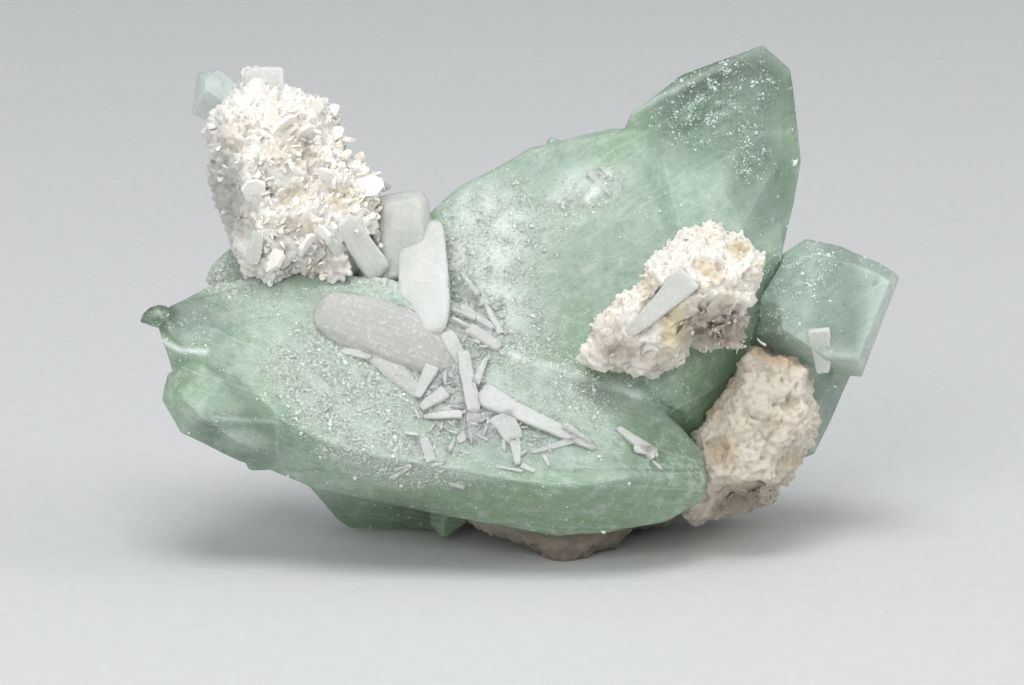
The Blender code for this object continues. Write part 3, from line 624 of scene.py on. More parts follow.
def crowd(shape, places, ahead, beside, long, wide, thick):
    """One net of many like crystals: each stands at its place, long along ahead and wide towards beside."""
    corners, triangles = shape
    ahead = unit(ahead)
    beside = unit(beside - ahead * (beside * ahead).sum(axis=1)[:, None])
    third = np.cross(ahead, beside)
    points = places[:, None, :] + (
        corners[None, :, 2:3] * long[:, None, None] * ahead[:, None, :]
        + corners[None, :, 0:1] * wide[:, None, None] * beside[:, None, :]
        + corners[None, :, 1:2] * thick[:, None, None] * third[:, None, :]
    )
    shift = np.arange(len(places))[:, None, None] * len(corners)
    return points.reshape(-1, 3), (triangles[None] + shift).reshape(-1, 3)


FROST_FINISH, tree, shader, place = new_material("frost_finish", IOR=1.45, Roughness=0.35)
tint = add_node(tree, "TexNoise", {"Vector": place, "Scale": 3000.0, "Detail": 2.0}).outputs[0]
tree.links.new(
    mix_node(tree, ramp_node(tree, tint, 0.35, 0.65), (0.44, 0.50, 0.43, 1.0), (0.76, 0.78, 0.73, 1.0)),
    shader.inputs["Base Color"],
)

# Sparkling parts: the clear window of the peak, the seam between the two large crystals and the left edge.
GLINT_PATCHES = [
    (19.5, 24.5, 6.5, 3.6, 28.0, 1.0),
    (22.8, 19.6, 2.2, 3.4, 10.0, 0.9),
    (5.0, -1.9, 9.5, 1.6, -20.0, 0.8),
    (14.0, -3.2, 3.6, 1.2, -25.0, 0.7),
    (-33.6, 1.0, 3.4, 2.4, 0.0, 0.5),
    (-30.6, -7.4, 1.6, 1.2, 0.0, 0.35),
    (-3.8, 6.5, 5.0, 7.0, -20.0, 0.35),
    (28.0, 7.2, 4.5, 3.2, 0.0, 1.0),
    (25.6, 3.0, 2.4, 3.0, 0.0, 0.4),
    (-5.0, -8.0, 12.0, 7.0, -20.0, 0.15),
]


def frosted(middles, outward):
    """More frost where the frost patches are, on the side that the viewer sees."""
    x, z, y = as_seen(middles * MM)
    clumps = np.clip(0.5 + 1.3 * waves(middles, 1.6, 20.0), 0.05, 1.0)
    return most(FROST_PATCHES, x, z) ** 1.5 * clumps * (outward[:, 1] < -0.1) + 1e-9


def glinting(middles, outward):
    """More glints where the sparkling parts are."""
    x, z, y = as_seen(middles * MM)
    clumps = np.clip(0.35 + 1.6 * waves(middles, 1.1, 30.0), 0.03, 1.0) ** 2
    return (most(GLINT_PATCHES, x, z) * clumps + 0.008) * (outward[:, 1] < 0.3) * (y < 12.0) + 1e-9


def strewn_grains(name, net, shape, weight, count, size, lift, seed, finish, node, slot="apophyllite"):
    """A crust of tiny crystals of random turn, joined in one piece."""
    places, outward, draw = scattered(net, count, weight, seed)
    ahead = outward + draw.normal(0.0, 0.6, (count, 3))
    across = draw.normal(0.0, 1.0, (count, 3))
    long = size * np.exp(draw.normal(0.0, 0.55, count))
    wide, thick = long * draw.uniform(0.4, 1.0, count), long * draw.uniform(0.3, 0.8, count)
    grains = crowd(shape, places + outward * lift, ahead, across, long, wide, thick)
    return to_piece(name, *grains, finish, node, slot=slot, smooth=False)


MANY = 1
strewn_grains(
    "apophyllite_frost", MAIN_NET, SUGAR, frosted, 44000 // MANY, 0.107, 0.0, 31, FROST_FINISH, "apophyllite_main"
)
GLINT_FINISH, tree, shader, place = new_material("glint_finish", IOR=1.55, Roughness=0.05)
shader.inputs["Base Color"].default_value = (0.66, 0.75, 0.68, 1.0)
strewn_grains(
    "apophyllite_glints", MAIN_NET, GRAIN, glinting, 5600 // MANY, 0.14, 0.0, 32, GLINT_FINISH, "apophyllite_main"
)
strewn_grains(
    "apophyllite_right_glints",
    SIDE_NETS["apophyllite_right"],
    GRAIN,
    glinting,
    1500 // MANY,
    0.14,
    0.0,
    33,
    GLINT_FINISH,
    "apophyllite_right",
)


# The mordenite
# Cream white mordenite: dense balls of fine radiating needles, crumbly and knobbly outside, matt, with warm stains.
# The horn is covered in crisp thin plates and small blades, the balls in short needles that stand on their knobs.
def mordenite_material(name, white, stain, hollow):
    """Matt fibrous cream with stains, with painted shade in its hollows and in its shaded patches."""
    material, tree, shader, place = new_material(name, Roughness=0.85)
    height, stained, shaded = (
        add_node(tree, "Attribute", attribute_name=mark).outputs["Fac"] for mark in ("height", "stain", "shade")
    )
    clouds = noise_node(tree, place, 4.0, detail=5.0)
    grains = noise_node(tree, place, 0.45, detail=6.0, roughness=0.7)
    hairs = noise_node(tree, place, 0.16, detail=3.0, roughness=0.6)
    colour = mix_node(tree, ramp_node(tree, clouds, 0.52, 0.74, 0.0, 0.40), white, stain)
    colour = mix_node(tree, maths_node(tree, "MULTIPLY", stained, ramp_node(tree, grains, 0.30, 0.60, 0.6, 1.0)), colour, stain)
    # Painted shade: darker towards the hollows of the relief and in the shaded patches.
    colour = mix_node(tree, ramp_node(tree, height, 0.35, 0.0, 0.0, 0.80), colour, hollow)
    colour = mix_node(tree, shaded, colour, hollow)
    colour = mix_node(tree, ramp_node(tree, grains, 0.42, 0.30, 0.0, 0.35), colour, hollow)
    tree.links.new(colour, shader.inputs["Base Color"])
    low = bump_node(tree, grains, 0.22)
    tree.links.new(bump_node(tree, hairs, 0.10, under=low), shader.inputs["Normal"])
    shader.inputs["Subsurface Weight"].default_value = 0.30
    shader.inputs["Subsurface Radius"].default_value = (1.0, 0.92, 0.84)
    shader.inputs["Subsurface Scale"].default_value = 0.6 * MM
    return material


def knobs(points, size, seed):
    """Rounded knobs with sharp hollows between them, from about minus one half to one half."""
    places = points / size + seed
    return np.array([0.5 - noise.voronoi(p)[0][0] for p in places.tolist()])


KNOB_SIZES = {3.0: 2.8, 7.0: 2.0, 9.0: 2.0, 5.0: 2.4}


def mordenite_relief(points, seed):
    """Knobs on knobs, crumbly at the smallest scale, from nothing in a hollow to about one on a crest."""
    bent = points + 0.5 * np.column_stack([waves(points, 1.3, seed + 11.0 * axis) for axis in range(3)])
    big = knobs(bent, KNOB_SIZES[seed], seed)
    middle = knobs(bent, 0.8, seed + 3.0)
    small = waves(points, 0.45, seed)
    return 0.5 + 0.7 * big + 0.45 * middle + 0.25 * small


# Stained and shaded parts: the middle, the half widths and the turn of each, and how strong it is.
STAIN_PATCHES = [
    (-23.2, 19.0, 3.4, 1.8, 0.0, 0.65),
    (-17.9, 14.6, 1.4, 1.4, 0.0, 0.9),
    (-22.3, 14.8, 2.0, 1.6, 30.0, 0.5),
    (-25.5, 15.5, 1.4, 0.8, 0.0, 0.5),
    (-29.0, 20.5, 2.0, 1.5, 0.0, 0.4),
    (-22.0, 11.3, 3.2, 1.6, 0.0, 0.6),
    (-19.5, 9.0, 3.0, 2.0, 0.0, 0.5),
    (21.9, 9.6, 1.1, 1.1, 45.0, 1.0),
    (19.0, 7.6, 2.0, 1.1, -30.0, 0.75),
    (15.5, 1.8, 1.7, 3.0, -10.0, 1.0),
    (12.9, 6.0, 1.2, 1.4, 0.0, 0.5),
    (25.0, -0.7, 3.4, 1.3, -25.0, 1.0),
    (20.4, -10.6, 1.6, 1.8, 0.0, 0.7),
    (25.4, -7.6, 1.2, 1.0, 0.0, 0.45),
    (19.6, -5.5, 1.4, 2.2, 0.0, 0.5),
    (27.6, -11.6, 2.4, 0.9, 0.0, 0.45),
    (21.0, -4.0, 1.6, 1.0, 0.0, 0.4),
]
SHADE_PATCHES = [
    (20.0, 1.7, 3.8, 2.7, 0.0, 0.85),
    (9.6, -0.4, 3.2, 2.0, -20.0, 0.62),
    (13.6, -1.6, 2.4, 1.1, 0.0, 0.45),
    (23.5, -15.5, 5.5, 1.9, 0.0, 0.60),
    (-30.2, 21.0, 1.4, 3.0, 0.0, 0.40),
    (-29.4, 15.6, 2.2, 7.0, 8.0, 0.95),
    (-22.0, 8.8, 6.5, 2.6, 0.0, 0.75),
    (10.0, 2.0, 2.0, 1.2, 30.0, 0.3),
    (-27.6, 13.0, 1.8, 4.5, 10.0, 0.45),
    (-26.2, 9.0, 2.0, 3.0, 0.0, 0.45),
    (26.6, -5.8, 1.2, 0.8, 0.0, 0.35),
    (5.0, -20.0, 14.0, 3.0, 0.0, 0.85),
]
# Caves and ledges: the middle, the half widths and the turn of each, and how deep it goes in millimetres.
CAVES = [
    (19.9, 1.7, 4.0, 3.0, 0.0, 3.2),
    (9.6, -0.8, 1.2, 0.8, 0.0, 0.8),
    (12.6, 1.4, 1.2, 0.6, 30.0, 0.6),
    (17.5, 5.6, 2.2, 0.6, -20.0, 0.6),
    (23.6, -15.6, 5.2, 1.8, 0.0, 1.5),
    (26.4, -5.8, 1.6, 1.0, 0.0, 0.6),
    (19.7, -10.4, 1.2, 1.6, 0.0, 0.8),
    (13.2, -0.9, 2.0, 1.2, 0.0, 0.8),
    (-22.4, 15.0, 1.8, 0.9, 30.0, 0.9),
    (-25.0, 15.2, 1.5, 0.7, 0.0, 0.8),
    (-22.5, 11.4, 3.2, 1.2, 0.0, 1.0),
    (-27.8, 13.4, 1.6, 3.6, 10.0, 0.8),
]


def mordenite_marks(points, height):
    """How high, stained and shaded each point is."""
    x, z, y = as_seen(points * MM)
    front = np.clip((10.0 - y) / 4.0, 0.0, 1.0)
    return {
        "height": height,
        "stain": most(STAIN_PATCHES, x, z) * front,
        "shade": most(SHADE_PATCHES, x, z) * front,
    }


def cave_relief(points):
    """The caves, with thin ledges of layered fibres inside."""
    x, z, y = as_seen(points * MM)
    inside = most(CAVES, x, z) * np.clip((9.0 - y) / 4.0, 0.0, 1.0)
    ledges = waves(np.column_stack([x * 0.25, z * 2.2, y * 0.25]), 1.0, 40.0)
    return np.minimum(inside, 2.6) * (0.30 * ledges - 1.0)


CREAM = (0.88, 0.85, 0.79, 1.0)
# The colour of the painted shade in the hollows and shaded patches of the mordenite.
HOLLOW_SHADE = (0.44, 0.38, 0.31, 1.0)
HORN_FINISH = mordenite_material("mordenite_horn_finish", CREAM, (0.80, 0.70, 0.53, 1.0), (0.52, 0.50, 0.47, 1.0))
MIDDLE_FINISH = mordenite_material("mordenite_middle_finish", (0.88, 0.84, 0.76, 1.0), (0.66, 0.55, 0.35, 1.0), HOLLOW_SHADE)
RIGHT_FINISH = mordenite_material("mordenite_right_finish", (0.66, 0.60, 0.50, 1.0), (0.52, 0.40, 0.26, 1.0), HOLLOW_SHADE)
MATRIX_FINISH = mordenite_material(
    "mordenite_matrix_finish", (0.40, 0.37, 0.31, 1.0), (0.38, 0.32, 0.23, 1.0), (0.20, 0.17, 0.13, 1.0)
)
FILL = 0.22  # how far the mordenite swells to close on its neighbours
MORDENITE = [
    ("mordenite_horn", HORN_FINISH, 1.6, 3.0, 0.34),
    ("mordenite_middle_ball", MIDDLE_FINISH, 1.2, 7.0, 0.34),
    ("mordenite_right_ball", RIGHT_FINISH, 1.15, 9.0, 0.34),
    ("mordenite_matrix", MATRIX_FINISH, 0.8, 5.0, 0.50),
]
MORDENITE_NETS = {}
for node, finish, depth, seed, edge in MORDENITE:
    points, triangles = refined(*net_of(node), edge)
    points = softened(points, triangles, 3)
    height = mordenite_relief(points, seed)
    points = pushed(points, triangles, depth * (height - 0.62) + FILL + cave_relief(points))
    marks = mordenite_marks(points, height)
    to_piece(node + "_mass", points, triangles, finish, node, slot="mordenite", marks=marks)
    MORDENITE_NETS[node] = (points, triangles)

# A thin blade with a chisel tip: two straight rings and a narrow end.
BLADE_RINGS = ((0.0, 0.8, 1.0), (0.65, 1.0, 1.0), (1.0, 0.35, 0.5))
BLADE = (
    np.array([(sx * w / 2, sy * t / 2, z) for z, w, t in BLADE_RINGS for sx, sy in ((1, 1), (-1, 1), (-1, -1), (1, -1))]),
    np.array(
        [
            tri
            for ring in (0, 4)
            for i in range(4)
            for tri in (
                (ring + i, ring + (i + 1) % 4, ring + 4 + (i + 1) % 4),
                (ring + i, ring + 4 + (i + 1) % 4, ring + 4 + i),
            )
        ]
        + [(0, 2, 1), (0, 3, 2), (8, 9, 10), (8, 10, 11)]
    ),
)
HAIR = (
    np.array([(0.5, 0.0, 0.0), (-0.25, 0.43, 0.0), (-0.25, -0.43, 0.0), (0.0, 0.0, 1.0)]),
    np.array([(0, 2, 1), (0, 1, 3), (1, 2, 3), (2, 0, 3)]),
)


def bristles(name, net, shape, count, long, wide, thick, lean, finish, node, seed, weight=None):
    """Many small blades or hairs that stand on a lump in fans, joined in one piece."""
    everywhere = weight or (lambda middles, outward: np.ones(len(middles)))
    places, outward, draw = scattered(net, count, everywhere, seed)
    fan = np.column_stack([waves(places, 2.0, seed + 5.0 * axis) for axis in range(3)])
    ahead = outward + lean * (1.6 * fan + draw.normal(0.0, 0.35, (count, 3)))
    facing = np.column_stack([waves(places, 1.2, seed + 31.0 + 5.0 * axis) for axis in range(3)])
    beside = facing + draw.normal(0.0, 0.25, (count, 3))
    scale = draw.uniform(0.4, 1.3, count) * (0.7 + 0.6 * draw.random(count))
    net = crowd(shape, places - outward * 0.35 * long, ahead, beside, long * scale, wide * scale, thick * np.sqrt(scale))
    return to_piece(name, *net, finish, node, slot="mordenite", smooth=False)


BLADE_FINISH, tree, shader, place = new_material("mordenite_blade_finish", IOR=1.48, Roughness=0.45)
tint = add_node(tree, "TexNoise", {"Vector": place, "Scale": 260.0, "Detail": 3.0}).outputs[0]
tree.links.new(
    mix_node(tree, ramp_node(tree, tint, 0.40, 0.68), (0.86, 0.84, 0.79, 1.0), (0.80, 0.74, 0.64, 1.0)),
    shader.inputs["Base Color"],
)
HORN_NET = MORDENITE_NETS["mordenite_horn"]


def off_the_plates(middles, outward):
    """No small blades on the smooth plates and few on the fibrous left side."""
    x, z, y = as_seen(middles * MM)
    plate = (z > 24.6) & (x > -28.0) & (x < -22.8)
    foot = (x > -19.0) & (z < 12.6) & (y < 6.0)
    left = np.clip((x + 29.6 - 0.20 * (24.0 - z)) / 2.5, 0.05, 1.0)
    return left * np.where(plate | foot, 0.0, 1.0) + 1e-9


bristles(
    "mordenite_horn_blades",
    HORN_NET,
    BLADE,
    2400 // MANY,
    0.58,
    0.44,
    0.15,
    1.5,
    BLADE_FINISH,
    "mordenite_horn",
    51,
    off_the_plates,
)
bristles(
    "mordenite_horn_large_blades",
    HORN_NET,
    BLADE,
    190,
    1.9,
    1.5,
    0.45,
    2.2,
    BLADE_FINISH,
    "mordenite_horn",
    57,
    off_the_plates,
)
bristles("mordenite_horn_hairs", HORN_NET, HAIR, 9000 // MANY, 0.55, 0.08, 0.08, 0.8, HORN_FINISH, "mordenite_horn", 52)


def out_of_caves(middles, outward):
    """No hairs inside the caves and under the ledges."""
    x, z, y = as_seen(middles * MM)
    return np.clip(1.0 - 1.5 * most(CAVES, x, z), 0.0, 1.0) + 1e-9


for node, finish, seed in (
    ("mordenite_middle_ball", MIDDLE_FINISH, 53),
    ("mordenite_right_ball", RIGHT_FINISH, 54),
    ("mordenite_matrix", MATRIX_FINISH, 55),
):
    sizes = (3600 // MANY, 0.28, 0.15, 0.15, 0.9)
    bristles(node + "_hairs", MORDENITE_NETS[node], HAIR, *sizes, finish, node, seed, out_of_caves)
bristles(
    "mordenite_middle_ball_blades",
    MORDENITE_NETS["mordenite_middle_ball"],
    BLADE,
    500 // MANY,
    0.6,
    0.30,
    0.12,
    0.8,
    BLADE_FINISH,
    "mordenite_middle_ball",
    56,
    lambda middles, outward: np.clip(outward[:, 2], 0.02, 1.0),
)


# The stilbite
# Thin flat blades of white stilbite, pearly and faintly translucent, with fine lines along their length. The sheaf in
# the middle is a thick soft log and an upright blade with broken slivers and crumbs round their feet.
def stilbite_material(name, white, grey, seen_into, gloss):
    """Pearly white with a faint warm or grey cast and fine lines."""
    material, tree, shader, place = new_material(name, IOR=1.50, Roughness=gloss, Transmission_Weight=seen_into)
    warm = add_node(tree, "Attribute", attribute_name="warm").outputs["Fac"]
    along = add_node(tree, "Attribute", attribute_name="across").outputs["Fac"]
    clouds = noise_node(tree, place, 3.0, detail=5.0)
    grains = noise_node(tree, place, 0.5, detail=4.0, roughness=0.7)
    lines_inputs = {"W": along, "Scale": 3.0, "Detail": 5.0, "Roughness": 0.65}
    lines = add_node(tree, "TexNoise", lines_inputs, noise_dimensions="1D").outputs[0]
    colour = mix_node(tree, ramp_node(tree, clouds, 0.35, 0.7), white, grey)
    colour = mix_node(tree, warm, colour, (0.50, 0.49, 0.45, 1.0))
    colour = mix_node(tree, ramp_node(tree, lines, 0.5, 0.8, 0.0, 0.22), colour, (0.84, 0.85, 0.84, 1.0))
    colour = mix_node(tree, ramp_node(tree, grains, 0.54, 0.68, 0.0, 0.55), colour, (0.92, 0.93, 0.91, 1.0))
    tree.links.new(colour, shader.inputs["Base Color"])
    low = bump_node(tree, lines, 0.05)
    tree.links.new(bump_node(tree, grains, 0.14, under=low), shader.inputs["Normal"])
    shader.inputs["Subsurface Weight"].default_value = 0.8
    shader.inputs["Subsurface Radius"].default_value = (1.0, 1.0, 1.0)
    shader.inputs["Subsurface Scale"].default_value = 1.2 * MM
    return material


PEARL = stilbite_material("stilbite_finish", (0.60, 0.60, 0.56, 1.0), (0.51, 0.53, 0.49, 1.0), 0.42, 0.24)
WHITE = stilbite_material("stilbite_white_finish", (0.77, 0.77, 0.73, 1.0), (0.67, 0.69, 0.64, 1.0), 0.42, 0.22)


def on_surface(tree, x, z):
    """The place on a net that is seen at x, z, and the outward direction there."""
    start = in_frame(x, z, -60.0) / MM
    place, normal, *_ = tree.ray_cast(start, (in_frame(x, z, 60.0) / MM - start).normalized())
    if place is None:
        place, normal, *_ = tree.find_nearest(in_frame(x, z) / MM)
    return place, normal


RINGS, SIDES = 15, 18


def pillow_blade(start, end, facing, wide, thick, taper=(1.0, 1.0), blunt=5.0, boxy=3.0):
    """A flat blade with softened edges from start to end: its points, its triangles and millimetres across it."""
    along = (end - start).normalized()
    side = along.cross(facing).normalized()
    up = side.cross(along).normalized()
    points, across = [], []
    for ring in range(RINGS):
        share = 0.5 - 0.5 * math.cos(math.pi * ring / (RINGS - 1))
        close = max(1.0 - abs(2.0 * share - 1.0) ** blunt, 0.0) ** (1.0 / blunt)
        half = wide / 2.0 * (taper[0] + (taper[1] - taper[0]) * share) * max(close, 0.02)
        deep = thick / 2.0 * max(close, 0.02) * (0.5 + half / wide)
        for step in range(SIDES):
            turn = 2.0 * math.pi * step / SIDES
            c, s = math.cos(turn), math.sin(turn)
            sideways = math.copysign(abs(c) ** (2.0 / boxy), c) * half
            outwards = math.copysign(abs(s) ** (2.0 / boxy), s) * deep
            points.append(start.lerp(end, share) + side * sideways + up * outwards)
            across.append(sideways)
    triangles = []
    for ring in range(RINGS - 1):
        for step in range(SIDES):
            a, b = ring * SIDES + step, ring * SIDES + (step + 1) % SIDES
            triangles += [(a, b, b + SIDES), (a, b + SIDES, a + SIDES)]
    last = (RINGS - 1) * SIDES
    triangles += [(0, step + 1, step) for step in range(1, SIDES - 1)]
    triangles += [(last, last + step, last + step + 1) for step in range(1, SIDES - 1)]
    points = np.array([tuple(p) for p in points])
    bend = np.column_stack([waves(points, 3.5, 3.0 * axis) for axis in range(3)])
    return points + 0.08 * min(wide, 3.0) * bend, np.array(triangles), np.array(across)


def laid_blades(name, blades, net, finish, node, slot="stilbite", boxy=3.0, upright=False):
    """Blades on a net, joined in one piece, each from one seen place to another: flat on it, or facing the viewer."""
    tree = BVHTree.FromPolygons(net[0].tolist(), net[1].tolist())
    all_points, all_triangles, all_across, all_warm, count = [], [], [], [], 0
    for x0, z0, x1, z1, wide, thick, lift, taper, blunt, warm in blades:
        (start, first), (end, second) = on_surface(tree, x0, z0), on_surface(tree, x1, z1)
        facing = TOWARDS_VIEWER if upright else (first + second).normalized()
        start, end = start + facing * lift[0], end + facing * lift[1]
        points, triangles, across = pillow_blade(start, end, facing, wide, thick, taper, blunt, boxy)
        points = points + normals_of(points, triangles) * (0.07 * waves(points, 0.7))[:, None]
        all_points.append(points)
        all_triangles.append(triangles + count)
        all_across.append(across + 7.0 * x0)
        all_warm.append(np.full(len(points), warm))
        count += len(points)
    marks = {"across": np.concatenate(all_across), "warm": np.concatenate(all_warm)}
    net = (np.vstack(all_points), np.vstack(all_triangles))
    to_piece(name, *net, finish, node, slot=slot, marks=marks)
    return net


# The sheaf: where each blade starts and ends, its width and thickness, how far its middle line lies above the crystal
# at both ends, how wide it is at both ends, how blunt its ends are and how warm it is.
SHEAF = [
    (-20.4, 3.6, -5.0, -1.3, 7.6, 2.4, (0.25, -0.7), (0.78, 0.97), 3.2, 0.70),
    (-9.6, 11.9, -9.4, 0.8, 5.2, 1.5, (0.75, 0.0), (0.98, 1.0), 5.0, 0.0),
    (-15.4, 0.6, -10.1, -5.2, 3.2, 0.9, (0.0, 0.0), (1.1, 0.35), 7.0, 0.5),
    (-17.9, -0.6, -14.6, -1.1, 1.6, 0.5, (0.1, 0.3), (0.3, 1.0), 4.0, 0.0),
    (-6.0, 3.8, -2.6, 1.4, 1.2, 0.7, (0.2, 0.2), (1.0, 0.7), 6.0, 0.3),
    (-5.2, 1.6, -1.9, -0.4, 1.4, 0.7, (0.2, 0.2), (1.0, 0.8), 6.0, 0.4),
    (-4.4, 0.0, -1.6, 2.2, 0.9, 0.6, (0.3, 0.3), (1.0, 0.6), 6.0, 0.2),
    (-7.4, 1.2, -5.6, -2.0, 1.8, 0.8, (0.2, 0.1), (1.0, 0.7), 4.0, 0.2),
    (-3.4, 3.9, -1.8, 1.0, 0.8, 0.5, (0.3, 0.2), (0.6, 1.0), 6.0, 0.1),
]
CHIPS = [
    (-4.1, -4.9, 7.7, -10.4, 2.3, 0.7, (0.25, 0.1), (1.15, 0.28), 9.0, 0.0),
    (-4.3, -6.6, -6.3, -14.2, 1.8, 0.7, (0.25, 0.25), (0.85, 1.0), 12.0, 0.0),
    (-5.7, -0.8, -4.5, -6.8, 1.6, 0.7, (0.4, 0.4), (0.8, 0.9), 6.0, 0.1),
    (-3.3, -1.5, -4.4, -4.2, 0.9, 0.5, (0.4, 0.5), (0.5, 1.0), 8.0, 0.0),
    (-8.6, -2.2, -10.2, -5.4, 1.6, 0.6, (0.3, 0.3), (1.0, 0.5), 8.0, 0.1),
    (-7.2, -4.8, -9.8, -6.4, 1.4, 0.6, (0.3, 0.2), (1.0, 0.6), 8.0, 0.2),
    (-9.5, -7.3, -5.7, -7.1, 1.0, 0.5, (0.2, 0.4), (0.4, 1.0), 8.0, 0.0),
    (-2.0, -7.0, -0.4, -9.6, 2.6, 0.6, (0.3, 0.2), (1.0, 0.7), 8.0, 0.1),
    (-0.5, -9.4, -0.2, -12.1, 1.2, 0.5, (0.2, 0.2), (1.0, 0.5), 8.0, 0.0),
    (0.2, -12.1, 1.6, -12.7, 0.6, 0.4, (0.1, 0.1), (1.0, 0.5), 8.0, 0.0),
    (1.1, -10.8, 5.8, -9.5, 0.8, 0.3, (0.1, 0.3), (0.4, 1.0), 6.0, 0.0),
    (4.4, -8.2, 7.6, -10.3, 1.3, 0.4, (0.3, 0.1), (0.8, 0.4), 8.0, 0.0),
    (-12.9, -13.3, -10.7, -11.8, 0.6, 0.4, (0.1, 0.2), (1.0, 0.5), 8.0, 0.0),
    (-12.4, -12.4, -10.9, -11.8, 0.4, 0.3, (0.1, 0.1), (1.0, 0.5), 8.0, 0.0),
    (-9.6, -9.4, -8.8, -11.8, 1.2, 0.5, (0.2, 0.1), (0.8, 0.9), 8.0, 0.15),
    (-5.6, 7.0, -3.9, 4.7, 0.55, 0.4, (0.7, 0.9), (0.5, 1.0), 7.0, 0.0),
    (-7.0, 3.2, -4.5, 2.2, 0.6, 0.4, (0.6, 0.6), (0.5, 1.0), 7.0, 0.0),
    (-6.9, 2.3, -5.0, 1.4, 0.5, 0.4, (0.6, 0.5), (0.8, 0.6), 7.0, 0.0),
    (7.0, 17.4, 9.2, 14.9, 0.9, 0.4, (0.1, 0.1), (1.0, 0.3), 6.0, 0.0),
    (7.6, 17.4, 9.4, 16.4, 0.5, 0.3, (0.1, 0.1), (1.0, 0.4), 6.0, 0.0),
    (-2.4, -12.2, 0.4, -12.7, 0.4, 0.3, (0.1, 0.1), (0.5, 0.9), 6.0, 0.0),
    (2.4, -11.0, 3.0, -12.2, 0.5, 0.3, (0.1, 0.1), (0.9, 0.5), 6.0, 0.0),
]
FLAKES = [
    (9.7, -8.4, 13.4, -11.2, 1.7, 0.6, (0.2, 0.3), (0.35, 1.1), 8.0, 0.0),
    (11.3, -10.5, 13.6, -10.9, 1.3, 0.5, (0.3, 0.3), (0.6, 1.0), 6.0, 0.0),
    (13.2, -11.6, 14.2, -12.4, 0.5, 0.3, (0.1, 0.0), (0.5, 1.0), 6.0, 0.0),
]
BALL_BLADES = [
    (17.2, 6.9, 10.9, 1.0, 2.9, 0.7, (0.0, 0.1), (1.0, 0.40), 9.0, 0.1),
    (16.8, 7.2, 13.4, 4.4, 1.1, 0.5, (0.3, 0.3), (0.8, 0.6), 9.0, 0.0),
]
SIDE_BLADES = [
    (29.9, 1.6, 30.2, -2.6, 2.3, 0.8, (1.2, 2.6), (1.0, 0.6), 8.0, 0.0),
]
HORN_PLATES = [
    (-18.0, 12.8, -12.9, 6.9, 2.7, 1.1, (0.4, 1.0), (0.9, 1.0), 5.0, 0.0),
    (-21.4, 10.4, -24.0, 7.6, 1.9, 0.7, (0.3, 0.5), (0.7, 1.0), 6.0, 0.2),
    (-22.2, 11.4, -19.8, 8.4, 2.2, 0.7, (0.2, 0.4), (0.7, 1.0), 6.0, 0.3),
    (-19.0, 10.4, -16.2, 7.6, 1.7, 0.7, (0.3, 0.5), (0.8, 1.0), 5.0, 0.2),
    (-26.0, 11.6, -26.6, 8.4, 1.5, 0.6, (0.2, 0.5), (0.8, 1.0), 5.0, 0.1),
]
# Plates and blades that stand free of the horn: both ends with their depth behind the sheet, width and thickness.
FREE_PLATES = [
    (-25.5, 22.6, 1.4, -25.5, 27.5, 2.6, 4.3, 2.4, (0.92, 1.0), 14.0),
    (-28.0, 24.6, 3.4, -27.2, 27.7, 3.0, 1.2, 1.0, (1.0, 0.8), 6.0),
    (-19.8, 22.0, 3.6, -17.6, 23.1, 3.4, 1.3, 0.7, (1.1, 0.25), 6.0),
    (-16.4, 18.0, 4.0, -12.8, 15.7, 4.0, 1.2, 0.8, (1.0, 0.8), 8.0),
    (-17.4, 17.4, 3.8, -15.6, 18.7, 3.8, 1.2, 0.9, (1.0, 0.6), 5.0),
    (-15.6, 15.4, 4.0, -13.2, 13.4, 3.6, 1.3, 0.8, (1.0, 0.7), 6.0),
]
RIGHT_EDGE = [(-21.6, 24.7), (-20.2, 24.2), (-19.4, 23.0), (-18.7, 21.6), (-18.2, 20.2), (-17.8, 18.8), (-15.4, 17.4)]


def free_blades(name, blades, finish, node):
    """Plates that stand free, joined in one piece."""
    all_points, all_triangles, count = [], [], 0
    facing = LEAN @ Vector((0.0, -1.0, 0.0))
    for x0, z0, y0, x1, z1, y1, wide, thick, taper, blunt in blades:
        ends = in_frame(x0, z0, y0) / MM, in_frame(x1, z1, y1) / MM
        points, triangles, across = pillow_blade(*ends, facing, wide, thick, taper, blunt, 5.0)
        all_points.append(points)
        all_triangles.append(triangles + count)
        count += len(points)
    net = (np.vstack(all_points), np.vstack(all_triangles))
    marks = {"across": net[0][:, 0], "warm": np.full(len(net[0]), 0.0)}
    return to_piece(name, *net, finish, node, slot="mordenite", marks=marks)


draw = random.Random(71)
teeth = []
for (x0, z0), (x1, z1) in zip(RIGHT_EDGE, RIGHT_EDGE[1:]):
    for step in range(3):
        share = (step + draw.random()) / 3.0
        x, z = x0 + (x1 - x0) * share, z0 + (z1 - z0) * share
        turn, reach = math.radians(draw.uniform(10.0, 75.0)), draw.uniform(0.7, 1.3)
        depth = draw.uniform(2.0, 5.0)
        tip = (x + reach * math.cos(turn), z + reach * math.sin(turn), depth)
        teeth.append((x - 0.6, z - 0.6, depth, *tip, draw.uniform(0.5, 0.9), 0.35, (1.0, 0.5), 4.0))
free_blades("mordenite_horn_free_plates", FREE_PLATES + teeth, WHITE, "mordenite_horn")
BALL_NET, SIDE_NET = MORDENITE_NETS["mordenite_middle_ball"], SIDE_NETS["apophyllite_right"]
log_net = laid_blades("stilbite_sheaf_log", SHEAF[:1], MAIN_NET, PEARL, "stilbite_sheaf", boxy=2.6)
blade_net = laid_blades("stilbite_sheaf_blades", SHEAF[1:], MAIN_NET, WHITE, "stilbite_sheaf", boxy=5.0)
chip_net = laid_blades("stilbite_sheaf_chips", CHIPS, MAIN_NET, WHITE, "stilbite_sheaf", boxy=7.0)
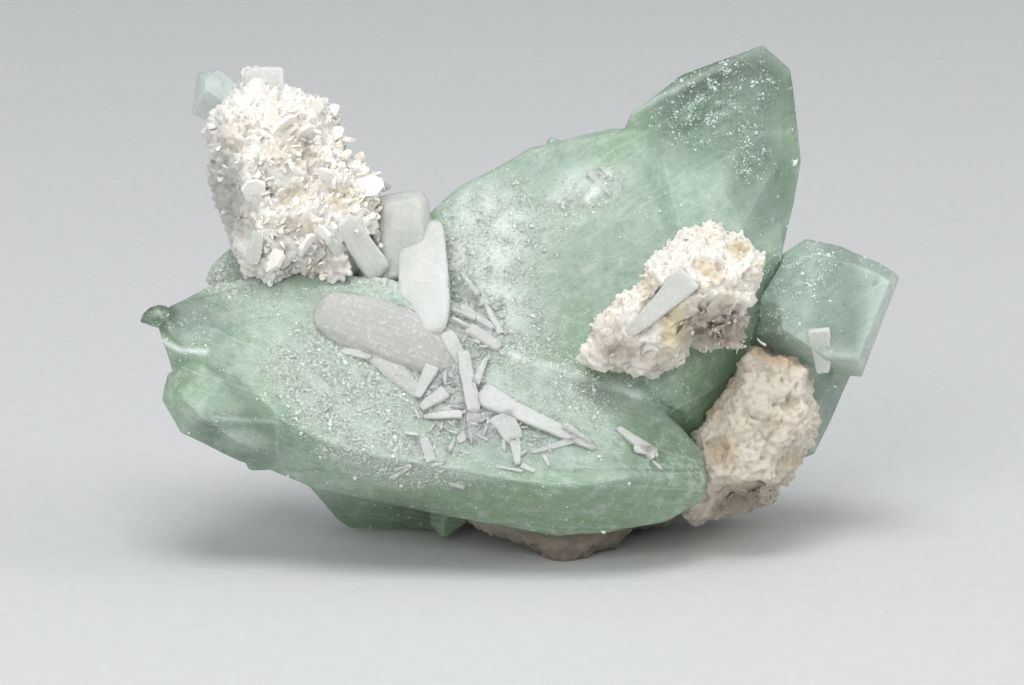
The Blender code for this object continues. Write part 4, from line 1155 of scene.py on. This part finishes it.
laid_blades("stilbite_flake_blades", FLAKES, MAIN_NET, WHITE, "stilbite_flake", boxy=7.0)
laid_blades("stilbite_ball_blades", BALL_BLADES, BALL_NET, WHITE, "stilbite_ball_blade")
laid_blades("stilbite_side_blades", SIDE_BLADES, SIDE_NET, WHITE, "stilbite_side_blade", upright=True, boxy=6.0)
laid_blades("mordenite_horn_plates", HORN_PLATES, HORN_NET, WHITE, "mordenite_horn", "mordenite", 7.0)

SHEAF_PATCHES = [
    (-6.0, -6.0, 6.5, 3.4, -25.0, 1.0),
    (-4.0, 1.6, 3.0, 4.0, 0.0, 0.8),
    (-8.5, -9.5, 3.0, 3.0, 0.0, 0.5),
    (1.0, -9.0, 3.5, 2.5, -20.0, 0.5),
]


def crumbly(middles, outward):
    """Crumbs lie thickest round the feet of the sheaf."""
    x, z, y = as_seen(middles * MM)
    return most(SHEAF_PATCHES, x, z) * (outward[:, 1] < -0.1) * (y < 6.0) + 1e-9


CRUMB_WHITE = stilbite_material("stilbite_crumb_finish", (0.88, 0.89, 0.86, 1.0), (0.80, 0.82, 0.78, 1.0), 0.30, 0.25)
CRUMBS = 700
places, outward, draw = scattered(MAIN_NET, CRUMBS, crumbly, 61)
sideways = draw.normal(0.0, 1.0, (CRUMBS, 3))
flat = unit(sideways - outward * (0.9 * (sideways * outward).sum(axis=1))[:, None])
crumb_size = 0.25 + 1.3 * draw.random(CRUMBS) ** 2
beside = draw.normal(0.0, 1.0, (CRUMBS, 3))
crumb_wide = crumb_size * draw.uniform(0.2, 0.6, CRUMBS)
crumbs = crowd(BLADE, places - outward * 0.04, flat, beside, crumb_size, crumb_wide, 0.06 + crumb_wide * 0.3)
warmth = draw.choice([0.0, 0.0, 0.3], CRUMBS)
crumb_marks = {"across": np.zeros(len(crumbs[0])), "warm": np.repeat(warmth, len(BLADE[0]))}


def sugared(middles, outward):
    """Frost sits on the outer sides of the blades, in clumps."""
    return np.clip(0.4 + 1.4 * waves(middles, 1.4, 44.0), 0.04, 1.0) * (outward[:, 1] < 0.2) + 1e-9


for name, net, count, seed in (("log", log_net, 2600, 81), ("blade", blade_net, 3600, 82), ("chip", chip_net, 3600, 83)):
    grains = (SUGAR, sugared, count // MANY, 0.10, 0.0, seed, WHITE)
    strewn_grains("stilbite_" + name + "_frost", net, *grains, "stilbite_sheaf", "stilbite")
to_piece("stilbite_crumbs", *crumbs, CRUMB_WHITE, "stilbite_sheaf", slot="stilbite", smooth=False, marks=crumb_marks)

for node in ("stilbite_saddle",):
    points, triangles = refined(*net_of(node), 0.35)
    points = softened(points, triangles, 6)
    ragged = 0.12 * waves(points * (1.0, 1.0, 0.25), 0.8)
    points = pushed(points, triangles, small_relief(points) + ragged)
    x, z, y = as_seen(points * MM)
    marks = {"across": x * 0.8 + z * 0.6, "warm": np.zeros(len(points))}
    to_piece(node + "_blades", points, triangles, WHITE, node, slot="stilbite", marks=marks)

size = {"cad": [list(corner) for corner in CAD_BOX], "visual": [list(corner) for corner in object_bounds()]}
